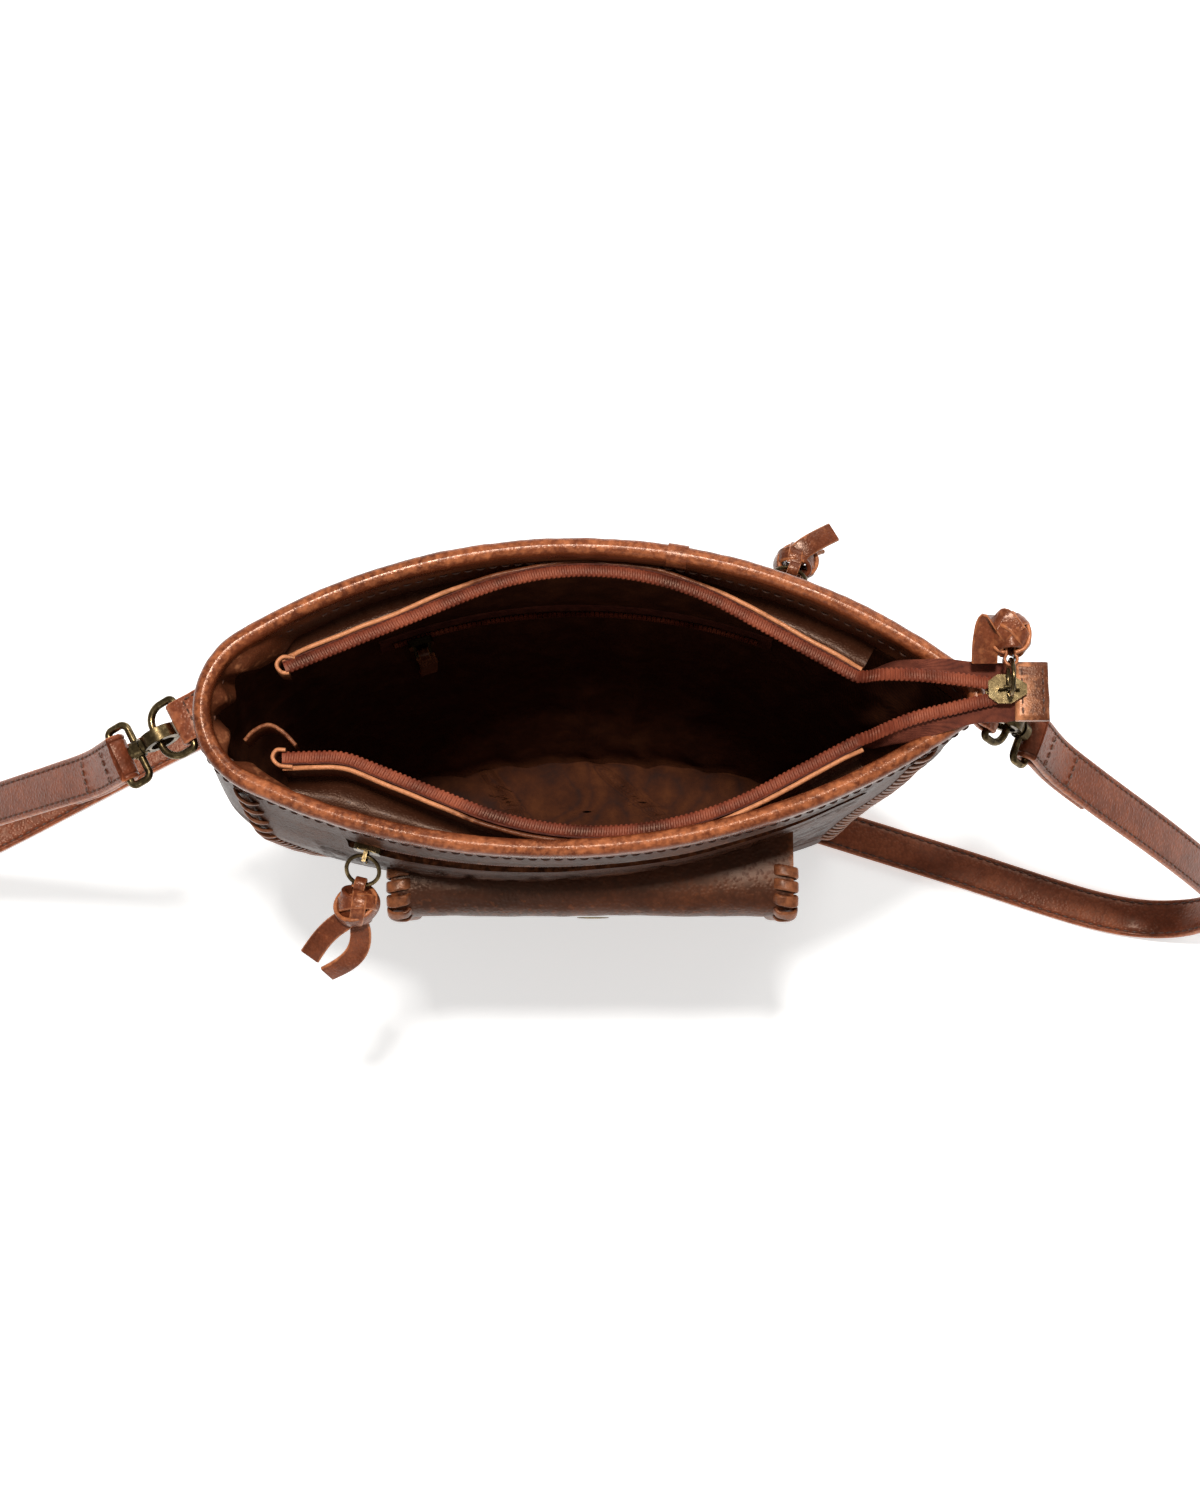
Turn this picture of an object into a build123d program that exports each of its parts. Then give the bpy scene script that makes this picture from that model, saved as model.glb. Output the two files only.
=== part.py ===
"""Crossbody purse standing open: a soft leather shell with a recessed top zipper, two outside zip
pockets, a laced flap pocket and a detachable shoulder strap that runs under the base.

Millimetres, +Z up. The origin is the middle of the flat base, +X runs along the purse towards the
tail of the top zipper, and -Y is the front, with the flap pocket.
"""
from build123d import *
import os
from dataclasses import dataclass
from math import asin, atan2, cos, degrees, hypot, radians, sin, sqrt, tan

# ---------------------------------------------------------------- driving dimensions
# shell: heights of the sections that shape it
shell_height = 225.0
neck_height = shell_height - 13
belly_height = shell_height - 45
waist_height = 100.0
leather = 2.2                  # outside leather with its backing
seam_gap = 0.3                 # between two panels at a seam
facing_leather = 1.2
facing_depth = 19.5            # how far the facing hangs down inside
lining_cloth = 0.7
lining_inset = 4.0             # lining's outer face, in from the shell's outer face
lining_floor = 6.3             # underside of the lining's floor
binding_width = 6.0
binding_drop = 5.5
binding_rise = 3.0
binding_overhang = 1.5
gusset_seam_top_left = 117.0   # where the side seams run, at the rim and at the base
gusset_seam_base_left = 97.0
gusset_seam_top_right = 113.0
gusset_seam_base_right = 94.0

# stitched lace along the side seams
lace_width = 3.2
lace_thickness = 1.5
lace_length = 9.0
lace_pitch = 7.0
lace_start = 24.0
lace_end = shell_height - 14

# top zipper
coil_width = 3.0
coil_height = 2.4
tape_cloth = 0.7
placket_leather = 1.4
placket_top = shell_height - 5.8
placket_bottom = shell_height - 20
placket_setback = 2.9          # coil's middle to the placket's middle
ledge_leather = 1.5
tail_level = shell_height + 5.4  # underside of the flat tail of the tape
tail_width = 18.0
tail_start = 88.0
tail_root_back = (8.8, 15.0)   # the tail's back half at its start, from the chain outwards
tail_root_front = (-14.8, -19.0)
tail_waist_x = 118.0
tail_waist_back = 10.5
tail_waist_front = -13.0
tail_end = 149.0
chain_join = 136.0             # where the two chains meet
chain_split = 0.4              # half the slit between the two halves of the tail
slider_start = 128.5
slider_length = 12.5
slider_width = 9.6
main_bail_reach = 4.0
main_bail_half = 2.8           # from the slider's middle to either post of its bail
main_post = 1.4
slider_plate = 1.4
slider_clearance = 0.35
slider_corner = 2.0
shield_tip = 1.6               # half the width of the slider's pointed end
shield_shoulder = 3.0
shield_chamfer = 2.2
wedge_start = 0.2
wedge_length = 2.0
wedge_half = 0.55
end_tab_length = 11.5
end_tab_leather = 1.5
end_tab_margin = 0.8
end_tab_corner = 2.5

# outside and inside zips
pocket_zip_level = shell_height - 26
pocket_zip_slot = 7.0
pocket_zip_tape_width = 14.0
pocket_coil_width = 3.6
pocket_coil_inset = 0.9
front_zip_left = -80.0
front_zip_right = 92.0
front_slider_x = -75.0
back_zip_left = -76.0
back_zip_right = 76.0
back_slider_x = 65.0
inner_zip_level = shell_height - 68
inner_zip_left = -72.0
inner_zip_right = 60.0
inner_slider_x = -64.0
small_slider_length = 9.0
small_slider_height = 6.2
small_slider_thickness = 2.4
small_slider_corner = 1.4
bail_reach = 3.6
bail_bar = 0.6
bail_post = 0.8
bail_thickness = 1.4
bail_post_y = 2.7              # posts stand this far either side of the slider's middle
pull_ring_radius = 5.6
pull_ring_wire = 0.7
knot_length = 12.0
knot_width = 12.0
knot_thickness = 9.0
knot_edge = 3.9                # rounding of the knot's edges
tail_strip_length = 24.0
neck_width = 4.0
neck_leather = 1.2
tail_strip_width = 7.0
tail_strip_leather = 1.8
inner_pull_length = 30.0
main_tail_length = 15.0

# flap pocket
pocket_width = 134.0
pocket_top = shell_height - 65
pocket_bottom = 68.0
pocket_front_top = -62.0
pocket_front_bottom = -50.0
pocket_leather = 2.0
flap_hinge_level = pocket_top + 16
flap_hinge_y = -57.5
flap_leather = 2.0
flap_fold_level = pocket_top + 4
flap_bottom = 112.0
flap_gap = 1.2                 # between the flap and the pocket's face
flap_hinge_gap = 0.5
flap_overhang = 2.0
snap_level = 126.0
snap_radius = 6.0
snap_cap_height = 1.4
snap_stud_radius = 3.5
flap_fold_radius = 1.8
flap_lace_start = 6.0          # lowest lace above the flap's lower edge
flap_lace_count = 6
lace_bite = 0.3                # how far a lace sinks into the leather under it

# inside pockets
slip_pocket_half_width = 76.0
slip_pocket_bottom = 60.0
slip_pocket_top = shell_height - 67
slip_pocket_bulge = 7.6
slip_trim_height = 6.0
slip_trim_leather = 1.6

# strap and its hardware
strap_width = 16.0
strap_thickness = 3.0
strap_channel_clearance = 0.8
strap_loop_radius = 4.1
wire = 1.3                     # radius of the cast brass stock
wire_clearance = 0.25
ring_bar_half = 9.5            # half the straight bar of a D-ring
ring_depth = 10.5
tab_width = 15.0
tab_leather = 1.7
tab_reach = 18.0
eye_half_width = 10.4
eye_depth = 7.4
clasp_reach = 22.3             # from the D-ring's bar to the middle of the eye
swivel_radius = 1.5
swivel_clearance = 0.1
swivel_gap = 0.2
hook_thickness = 4.6
hook_middle = (10.2, -1.2)
hook_hole = 4.2
hook_outer = 6.4
gate_turn = radians(296)       # where the gate's pin crosses the rim, round from the strap's side
gate_far = radians(180)
gate_reach = 7.2               # from the pin to the gate's free end
gate_gap = 0.3
gate_pin = 0.5
gate_bore = 0.55
gate_tongue = 1.8              # thickness of the gate's knuckle between the hook's cheeks
tongue_gap = 0.15
barrel_radius = 2.7
barrel_overlap = 1.2           # how far the barrel runs into the hook's rim
boss_length = 3.2
boss_radius = 3.3
pin_head_radius = 2.3
pin_head = 1.0
eye_corners = (2.4, 2.0)       # bend radii at the boss and at the strap's bar
ring_corners = (1.5, 6.0)      # bend radii at the tab's bar and at the bow
small_overlap = 0.5            # how far one lump runs into its neighbour so that they join
tab_core = 0.4                 # between the two layers of a leather tab

os.makedirs("parts", exist_ok=True)


def save(builder, name):
    """Label one finished piece and write it under its own name."""
    builder.part.label = name
    export_step(builder.part, f"parts/{name}.step")


# ---------------------------------------------------------------- plan of the shell
@dataclass
class Section:
    """One level of the shell's plan: two end circles and two long arcs that touch them."""
    height: float
    left_reach: float
    left_radius: float
    left_y: float
    right_reach: float
    right_radius: float
    right_y: float
    back_depth: float
    front_depth: float

    def ends(self):
        left = (self.left_radius - self.left_reach, self.left_y, self.left_radius)
        right = (self.right_reach - self.right_radius, self.right_y, self.right_radius)
        return left, right

    def long_arc(self, side):
        """Centre and radius of the long arc at the back (side 1) or at the front (side -1)."""
        depth = self.back_depth if side > 0 else self.front_depth
        (lx, ly, lr), (rx, ry, rr) = self.ends()
        left_gap = depth - side * ly - lr
        right_gap = depth - side * ry - rr
        left_power = (depth - side * ly) ** 2 - lr ** 2
        right_power = (depth - side * ry) ** 2 - rr ** 2
        a = right_gap - left_gap
        b = -2 * (right_gap * lx - left_gap * rx)
        c = right_gap * (lx ** 2 + left_power) - left_gap * (rx ** 2 + right_power)
        x = 2 * c / (-b - sqrt(b ** 2 - 4 * a * c))
        radius = ((x - lx) ** 2 + left_power) / (2 * left_gap)
        return x, side * (depth - radius), radius


sections = [
    Section(0.0, 107.0, 17.0, -2.0, 103.0, 15.0, 0.0, 31.0, 31.0),
    Section(waist_height, 124.0, 26.0, -7.0, 114.0, 14.0, 0.0, 45.0, 45.0),
    Section(belly_height, 131.0, 33.0, -9.0, 124.0, 14.0, -1.0, 53.5, 55.0),
    Section(neck_height, 129.5, 28.5, -4.0, 127.5, 8.5, -0.5, 52.0, 52.2),
    Section(shell_height, 129.5, 28.5, -4.0, 127.5, 8.5, -0.5, 52.0, 52.2),
]


def section_at(height):
    """The shell's plan at any height, between the two sections around it."""
    upper = next((s for s in sections if s.height >= height), sections[-1])
    lower = sections[max(sections.index(upper) - 1, 0)]
    span = upper.height - lower.height
    share = (height - lower.height) / span if span else 0.0
    low, high = vars(lower).values(), vars(upper).values()
    return Section(*[a + (b - a) * share for a, b in zip(low, high)])


def touch_point(centre, radius, end, inset):
    """Where a long arc meets an end circle, both moved in by the inset."""
    away = hypot(end[0] - centre[0], end[1] - centre[1])
    reach = (radius - inset) / away
    return centre[0] + (end[0] - centre[0]) * reach, centre[1] + (end[1] - centre[1]) * reach


def outline(height, inset):
    """Plan of the shell at a height, moved in by the inset, as a flat face at z = 0."""
    plan = section_at(height)
    left, right = plan.ends()
    corners = {}
    tops = {}
    for side in (1, -1):
        x, y, radius = plan.long_arc(side)
        corners[side, "left"] = touch_point((x, y), radius, left, inset)
        corners[side, "right"] = touch_point((x, y), radius, right, inset)
        tops[side] = (x, y + side * (radius - inset))
    left_end = (left[0] - left[2] + inset, left[1])
    right_end = (right[0] + right[2] - inset, right[1])
    with BuildSketch() as face:
        with BuildLine():
            ThreePointArc(corners[1, "left"], tops[1], corners[1, "right"])
            ThreePointArc(corners[1, "right"], right_end, corners[-1, "right"])
            ThreePointArc(corners[-1, "right"], tops[-1], corners[-1, "left"])
            ThreePointArc(corners[-1, "left"], left_end, corners[1, "left"])
        make_face()
    return face.sketch


def shell_solid(inset, bottom, top):
    """The shell as one solid block, moved in by the inset, between two heights."""
    between = [s.height for s in sections if bottom < s.height < top]
    with BuildPart() as block:
        for height in [bottom] + between + [top]:
            with BuildSketch(Plane.XY.offset(height)):
                add(outline(height, inset))
        loft(ruled=True)
    return block.part


def block(x, y, z):
    """A plain block between two limits on each axis, for cutting and clipping."""
    centre = Vector((x[0] + x[1]) / 2, (y[0] + y[1]) / 2, (z[0] + z[1]) / 2)
    with BuildPart() as box:
        with Locations(centre):
            Box(x[1] - x[0], y[1] - y[0], z[1] - z[0])
    return box.part


def skin(outer_inset, inner_inset, z, x, side):
    """A curved layer that follows the shell, on the back (side 1) or front (side -1)."""
    far = 200.0
    with BuildPart() as layer:
        add(shell_solid(outer_inset, *z))
        add(shell_solid(inner_inset, *z), mode=Mode.SUBTRACT)
        add(block(x, (min(0, side * far), max(0, side * far)), z), mode=Mode.INTERSECT)
    return layer.part


def wall_place(x, height, side, inset=0.0, facing=1):
    """A plane on the shell's long side: x along the wall, y up and z straight out, or in."""
    cx, cy, radius = section_at(height).long_arc(side)
    turn = asin((x - cx) / radius)
    out = Vector(sin(turn), side * cos(turn), 0)
    origin = Vector(cx, cy, height) + out * (radius - inset)
    return Plane(origin, x_dir=Vector(0, 0, 1).cross(out) * facing, z_dir=out * facing)


shell_outer = shell_solid(0.0, 0.0, shell_height)


# ---------------------------------------------------------------- route of the shoulder strap
def floor_line(point, slope, x):
    return point[1] + slope * (x - point[0])


lying = strap_thickness / 2
right_run = (96.0, -6.8)       # a point on the floor run that leaves under the front right
right_slope = -0.318
left_run = (-178.0, 27.4)      # a point on the floor run that comes out behind the left end
left_slope = 0.534
floor_bend = 150.0             # radius of the turn behind the purse
floor_start = 208.0
channel_reach = 150.0

right_bar = (135.0, 0.0, shell_height - 23)
right_heading = radians(-20)
right_pitch = radians(-48)
left_bar = (-138.0, -3.8, shell_height - 25)
left_heading = radians(208)
left_pitch = radians(-15)


def hardware_place(bar, heading, pitch, along=0.0):
    """A plane on a strap end's hardware: x towards the strap, y along the D-ring's bar."""
    out = Vector(cos(heading) * cos(pitch), sin(heading) * cos(pitch), sin(pitch))
    across = Vector(-sin(heading), cos(heading), 0)
    return Plane(Vector(*bar) + out * along, x_dir=out, z_dir=out.cross(across))


eye_bar_reach = clasp_reach + eye_depth / 2
right_eye = hardware_place(right_bar, right_heading, right_pitch, eye_bar_reach).origin
left_eye = hardware_place(left_bar, left_heading, left_pitch, eye_bar_reach).origin

strap_rise = shell_height / 225


def branch(points):
    """Strap points whose rise off the floor keeps step with the shell's height."""
    return [(x, y, lying + (z - lying) * strap_rise, heading) for x, y, z, heading in points]


# each point: x, y, z and the heading of the strap there, in degrees
right_branch = [(right_eye.X, right_eye.Y, right_eye.Z, -20)] + branch([
    (163, -11, 167, -21),
    (182, -19, 145, -21),
    (203, -27, 121, -20),
    (222, -34, 97, -20),
    (238, -39.5, 72, -19),
    (248, -43.5, 48, -18),
    (249, -45.5, 28, -18),
    (242, -46.5, 12, -18),
    (228, -46, 3.6, -18),
])
left_branch = branch([
    (-251, -11.6, lying, 28),
    (-266, -19, 5.2, 27),
    (-276, -22.5, 16, 25),
    (-280, -24, 32, 23),
    (-276, -24, 51, 20),
    (-265, -23, 70, 16),
    (-249, -21.5, 92, 12),
    (-230, -20, 113, 10),
    (-210, -18.8, 134, 9),
    (-190, -17.8, 156, 12),
    (-173, -17, 176, 20),
]) + [(left_eye.X, left_eye.Y, left_eye.Z, 28)]


def floor_points():
    """The strap's floor run: straight under the base, then round an arc behind the purse."""
    rise = left_run[1] - left_slope * left_run[0]
    start = right_run[1] - right_slope * right_run[0]
    corner_x = (start - rise) / (left_slope - right_slope)
    corner = Vector(corner_x, start + right_slope * corner_x, lying)
    first = radians(180) + atan2(right_slope, 1)
    last = radians(180) + atan2(left_slope, 1)
    half_turn = (last - first) / 2
    tangent = floor_bend * tan(half_turn)
    inward = Vector(sin(first), -cos(first), 0) * -1
    start_point = corner - Vector(cos(first), sin(first), 0) * tangent
    centre = start_point + inward * floor_bend
    points = [(floor_start, floor_line(right_run, right_slope, floor_start), lying, degrees(first) - 180)]
    steps = 5
    for step in range(steps + 1):
        turn = first + 2 * half_turn * step / steps
        spot = centre - Vector(-sin(turn), cos(turn), 0) * floor_bend
        points.append((spot.X, spot.Y, lying, degrees(turn) - 180))
    return points


def ribbon(points, width, thickness):
    """A flat band through the points, as straight spans between square sections."""
    spots = [Vector(*p[:3]) for p in points]
    with BuildPart() as band:
        for i, spot in enumerate(spots):
            before = spots[max(i - 1, 0)]
            after = spots[min(i + 1, len(spots) - 1)]
            tangent = ((after - spot).normalized() if i == 0 else
                       (spot - before).normalized() if spot == after else
                       ((after - spot).normalized() + (spot - before).normalized()).normalized())
            turn = radians(points[i][3])
            across = Vector(-sin(turn), cos(turn), 0)
            across = (across - tangent * across.dot(tangent)).normalized()
            with BuildSketch(Plane(spot, x_dir=across, z_dir=tangent)):
                Rectangle(width, thickness)
        loft(ruled=True)
    return band.part


def strap_channel(grown):
    """Room for the strap under the base, along its straight floor run, made larger all round."""
    turn = atan2(right_slope, 1)
    along = Vector(cos(turn), sin(turn), 0)
    middle = Vector(*right_run, 0) - along * channel_reach / 2
    height = strap_thickness + strap_channel_clearance / 2 + grown
    width = strap_width + 2 * (strap_channel_clearance + grown)
    with BuildPart(Plane(middle, x_dir=along, z_dir=(0, 0, 1))) as room:
        Box(2 * channel_reach, width, 2 * height)
    return room.part


# ---------------------------------------------------------------- shell panels
def gusset_side(sign, top, base, clear):
    """A block over everything outside one pair of side seams; the seams lean in to the base."""
    far = 300.0
    with BuildPart() as wedge:
        with BuildSketch(Plane.XZ):
            with BuildLine():
                Polyline((sign * far, -1), (sign * (base + clear), -1), (sign * (base + clear), 0),
                         (sign * (top + clear), shell_height), (sign * far, shell_height), close=True)
            make_face()
        extrude(amount=far, both=True)
    return wedge.part


def shell_ring():
    """The leather wall all round, before it is cut into panels."""
    with BuildPart() as ring:
        add(shell_outer)
        add(shell_solid(leather, 0.0, shell_height), mode=Mode.SUBTRACT)
        add(channel, mode=Mode.SUBTRACT)
    return ring.part


channel = strap_channel(0)
wall = shell_ring()
left_wide = gusset_side(-1, gusset_seam_top_left, gusset_seam_base_left, -seam_gap / 2)
left_narrow = gusset_side(-1, gusset_seam_top_left, gusset_seam_base_left, seam_gap / 2)
right_wide = gusset_side(1, gusset_seam_top_right, gusset_seam_base_right, -seam_gap / 2)
right_narrow = gusset_side(1, gusset_seam_top_right, gusset_seam_base_right, seam_gap / 2)


def long_panel(side, zip_left, zip_right):
    """The front or back leather panel with the slot of its zip pocket."""
    far = 200.0
    half_slot = pocket_zip_slot / 2
    depth = (min(side, side * far), max(side, side * far))
    with BuildPart() as panel:
        add(wall)
        add(left_wide, mode=Mode.SUBTRACT)
        add(right_wide, mode=Mode.SUBTRACT)
        add(block((-far, far), depth, (-1, shell_height + 1)), mode=Mode.INTERSECT)
        slot_levels = (pocket_zip_level - half_slot, pocket_zip_level + half_slot)
        add(block((zip_left, zip_right), depth, slot_levels), mode=Mode.SUBTRACT)
    return panel


front_panel = long_panel(-1, front_zip_left, front_zip_right)
save(front_panel, "front_panel")
back_panel = long_panel(1, back_zip_left, back_zip_right)
save(back_panel, "back_panel")

with BuildPart() as left_gusset:
    add(wall)
    add(left_narrow, mode=Mode.INTERSECT)
save(left_gusset, "left_gusset")

with BuildPart() as right_gusset:
    add(wall)
    add(right_narrow, mode=Mode.INTERSECT)
save(right_gusset, "right_gusset")

base_top = strap_thickness + strap_channel_clearance / 2 + leather
with BuildPart() as above_base:
    wide = (-2 * channel_reach, 2 * channel_reach)
    add(block(wide, (-channel_reach, channel_reach), (leather, base_top + 1)))
    add(strap_channel(leather), mode=Mode.SUBTRACT)
with BuildPart() as base_panel:
    add(shell_solid(leather + seam_gap, 0.0, base_top))
    add(above_base.part, mode=Mode.SUBTRACT)
    add(channel, mode=Mode.SUBTRACT)
save(base_panel, "base_panel")

# ---------------------------------------------------------------- rim, facing and lining
facing_inset = leather + 0.1
facing_inner = facing_inset + facing_leather
binding_bottom = shell_height - binding_drop
binding_top = shell_height + binding_rise

with BuildPart() as rim_binding:
    add(shell_solid(-binding_overhang, binding_bottom, binding_top))
    add(shell_solid(binding_width - binding_overhang, binding_bottom, binding_top), mode=Mode.SUBTRACT)
    fillet(rim_binding.faces().sort_by(Axis.Z)[-1].edges(), binding_width / 2 - 0.4)
    with BuildPart(mode=Mode.PRIVATE) as rim_channel:
        add(shell_solid(0.0, binding_bottom, shell_height))
        add(shell_solid(facing_inner + 0.1, binding_bottom, shell_height), mode=Mode.SUBTRACT)
    add(rim_channel.part, mode=Mode.SUBTRACT)
save(rim_binding, "rim_binding")

facing_bottom = shell_height - facing_depth
with BuildPart() as rim_facing:
    add(shell_solid(facing_inset, facing_bottom, shell_height - 0.1))
    add(shell_solid(facing_inner, facing_bottom, shell_height - 0.1), mode=Mode.SUBTRACT)
save(rim_facing, "rim_facing")

lining_top = placket_bottom - 0.5
lining_inner = lining_inset + lining_cloth
with BuildPart() as lining:
    add(shell_solid(lining_inset, lining_floor, lining_top))
    add(shell_solid(lining_inner, lining_floor + lining_cloth, lining_top), mode=Mode.SUBTRACT)
save(lining, "lining")

# ---------------------------------------------------------------- inside pockets
slip_range = (-slip_pocket_half_width, slip_pocket_half_width)
slip_levels = (slip_pocket_bottom, slip_pocket_top)
slip_back = lining_inner + slip_pocket_bulge
with BuildPart() as inner_front_pocket:
    add(skin(lining_inner + 0.2, slip_back + lining_cloth, slip_levels, slip_range, -1))
    hollow_levels = (slip_pocket_bottom + lining_cloth, slip_pocket_top)
    for hollow in ((slip_range[0] + 1, -1), (1, slip_range[1] - 1)):
        add(skin(lining_inner + 0.7, slip_back, hollow_levels, hollow, -1), mode=Mode.SUBTRACT)
save(inner_front_pocket, "inner_front_pocket")

trim_levels = (slip_pocket_top + 0.05, slip_pocket_top + slip_trim_height)
with BuildPart() as inner_pocket_trim:
    add(skin(slip_back - 0.4, slip_back - 0.4 + slip_trim_leather, trim_levels, slip_range, -1))
save(inner_pocket_trim, "inner_pocket_trim")

inner_range = (inner_zip_left, inner_zip_right)
inner_tape_inset = lining_inner + 0.1
inner_coil_inset = inner_tape_inset + tape_cloth + 0.05
inner_coil_depth = 1.4
half_tape = pocket_zip_tape_width / 2
half_coil = pocket_coil_width / 2
with BuildPart() as inner_zip_tape:
    levels = (inner_zip_level - half_tape, inner_zip_level + half_tape)
    add(skin(inner_tape_inset, inner_tape_inset + tape_cloth, levels, inner_range, 1))
save(inner_zip_tape, "inner_zip_tape")

with BuildPart() as inner_zip_coil:
    levels = (inner_zip_level - half_coil, inner_zip_level + half_coil)
    add(skin(inner_coil_inset, inner_coil_inset + inner_coil_depth, levels, inner_range, 1))
save(inner_zip_coil, "inner_zip_coil")


# ---------------------------------------------------------------- zip sliders and their pulls
def pocket_slider(place, clear, bail_turn):
    """A small slider: a plate that rides in front of the coil, and a bail turned over its face."""
    face = clear + small_slider_thickness
    bail = Location((0, 0, face), (0, 0, bail_turn))
    with BuildPart(place) as slider:
        with BuildSketch(place.offset(clear)):
            RectangleRounded(small_slider_length, small_slider_height, small_slider_corner)
        extrude(amount=small_slider_thickness)
        with Locations(bail):
            with Locations((0, bail_post_y, bail_reach / 2), (0, -bail_post_y, bail_reach / 2)):
                Box(bail_thickness, bail_post, bail_reach)
            with Locations(Location((0, 0, bail_reach - bail_bar), (90, 0, 0))):
                Cylinder(bail_bar, 2 * bail_post_y)
    return slider


def bail_place(place, clear, lean):
    """Where a pull hangs: x runs out along the pull, y is the swing's axis, from the bail's bar."""
    out = clear + small_slider_thickness + bail_reach - bail_bar
    origin = place.origin + place.z_dir * out
    direction = place.z_dir * cos(lean) + place.y_dir * sin(lean)
    return Plane(origin, x_dir=direction, z_dir=direction.cross(place.x_dir) * -1)


def ring_offset(lean=0.0):
    """From the bail's bar to the middle of the ring, which leans away from square to the bar."""
    return pull_ring_radius - (pull_ring_wire + bail_bar + wire_clearance) / cos(lean)


def pull_ring(hang, lean=0.0):
    """The round wire ring between a slider's bail and its leather pull."""
    with BuildPart(hang) as ring:
        with Locations((ring_offset(lean), 0, 0)):
            Torus(pull_ring_radius, pull_ring_wire)
    return ring


def knot_place(hang, lean, droop):
    """Where a knotted pull hangs on its ring: x out along the pull, y along the ring's wire."""
    spot = hang.origin + hang.x_dir * (ring_offset(lean) + pull_ring_radius)
    out = hang.x_dir * cos(droop) + hang.z_dir * sin(droop)
    return Plane(spot, x_dir=out, z_dir=out.cross(hang.y_dir))


def leather_pull(place, tails, tail_length):
    """A knotted leather pull: its neck loops the ring's wire, and flat tails fan out from the knot."""
    neck_hole = pull_ring_wire + neck_width ** 2 / (8 * pull_ring_radius) + wire_clearance
    neck_radius = neck_hole + neck_leather
    knot_middle = neck_radius + knot_length / 2 - 0.8
    tails_start = knot_middle + knot_length / 2 - 2.0
    with BuildPart(place) as pull:
        with Locations((knot_middle, 0, 0)):
            Box(knot_length, knot_width, knot_thickness)
        fillet(pull.edges(), knot_edge)
        with Locations((neck_radius, 0, 0)):
            Box(2 * neck_radius, neck_width, 2 * neck_leather + small_overlap)
        with Locations(Location((0, 0, 0), (90, 0, 0))):
            Cylinder(neck_radius, neck_width)
        for turn in tails:
            with Locations(Location((tails_start, 0, 0), (0, 0, turn))):
                with Locations((tail_length / 2, 0, 0)):
                    Box(tail_length, tail_strip_width, tail_strip_leather)
        with Locations(Location((0, 0, 0), (90, 0, 0))):
            Cylinder(neck_hole, neck_width, mode=Mode.SUBTRACT)
    return pull


inner_place = wall_place(inner_slider_x, inner_zip_level, 1, inner_coil_inset + inner_coil_depth, facing=-1)
inner_zip_slider = pocket_slider(inner_place, slider_clearance, 90)
save(inner_zip_slider, "inner_zip_slider")

inner_bar = inner_place.origin + inner_place.z_dir * (slider_clearance + small_slider_thickness
                                                      + bail_reach - bail_bar)
inner_loop_hole = bail_bar + wire_clearance
with BuildPart(Plane(inner_bar, x_dir=inner_place.x_dir, z_dir=inner_place.z_dir)) as inner_zip_pull:
    with Locations((0, -inner_pull_length / 2 - neck_width / 2, 0)):
        Box(tail_strip_width, inner_pull_length - neck_width, tail_strip_leather)
    with Locations((0, -neck_width / 2, 0)):
        Box(neck_width, neck_width + 1, tail_strip_leather)
    with Locations(Location((0, 0, 0), (0, 90, 0))):
        Cylinder(inner_loop_hole + neck_leather, neck_width)
    with Locations(Location((0, 0, 0), (0, 90, 0))):
        Cylinder(inner_loop_hole, neck_width + 1, mode=Mode.SUBTRACT)
save(inner_zip_pull, "inner_zip_pull")


def pocket_zip(name, side, left, right, slider_x, droop, spread):
    """One outside zip: its tape and coil behind the slot, its slider, ring and knotted pull."""
    reach = (left - 4, right + 4)
    with BuildPart() as tape:
        tape_levels = (pocket_zip_level - half_tape, pocket_zip_level + half_tape - 0.6)
        add(skin(leather + 0.15, leather + 0.15 + tape_cloth, tape_levels, reach, side))
    save(tape, name + "_zip_tape")
    with BuildPart() as coil:
        coil_levels = (pocket_zip_level - half_coil, pocket_zip_level + half_coil)
        add(skin(pocket_coil_inset, leather + 0.1, coil_levels, (left + 0.5, right - 0.5), side))
    save(coil, name + "_zip_coil")
    place = wall_place(slider_x, pocket_zip_level, side, pocket_coil_inset)
    slider = pocket_slider(place, slider_clearance, 0)
    save(slider, name + "_zip_slider")
    hang = bail_place(place, slider_clearance, pocket_ring_lean)
    ring = pull_ring(hang, pocket_ring_lean)
    save(ring, name + "_pull_ring")
    pull = leather_pull(knot_place(hang, pocket_ring_lean, droop), spread, tail_strip_length)
    save(pull, name + "_zip_pull")


pocket_ring_lean = radians(-38)
back_pull_droop = radians(20)
pocket_zip("front", -1, front_zip_left, front_zip_right, front_slider_x, 0.0, (-10, 5))
pocket_zip("back", 1, back_zip_left, back_zip_right, back_slider_x, back_pull_droop, (-14, 12))

# ---------------------------------------------------------------- top zipper
# each chain runs from its left end over the wide mouth and down to the tail on the right
back_route = [(-102, 11), (4.5, 55.7), (tail_start, 8)]
back_radii = [99]
front_route = [(-102, -20), (-82, -19.5), (8.3, -56.4), (tail_start, -14)]
front_radii = [25, 115]
join_offset = coil_width / 2 + 0.2


def shifted(route, radii, offset):
    """A route moved sideways, to its left when the offset is positive, with its bends to suit."""
    points = [Vector(*p) for p in route]
    sides = [(b - a).normalized().rotate(Axis.Z, 90) for a, b in zip(points, points[1:])]
    moved = [points[0] + sides[0] * offset]
    bends = []
    for i, radius in enumerate(radii):
        before, after = sides[i], sides[i + 1]
        moved.append(points[i + 1] + (before + after) * (offset / (1 + before.dot(after))))
        bends.append(radius - offset if before.cross(after).Z > 0 else radius + offset)
    moved.append(points[-1] + sides[-1] * offset)
    return moved, bends


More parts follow.
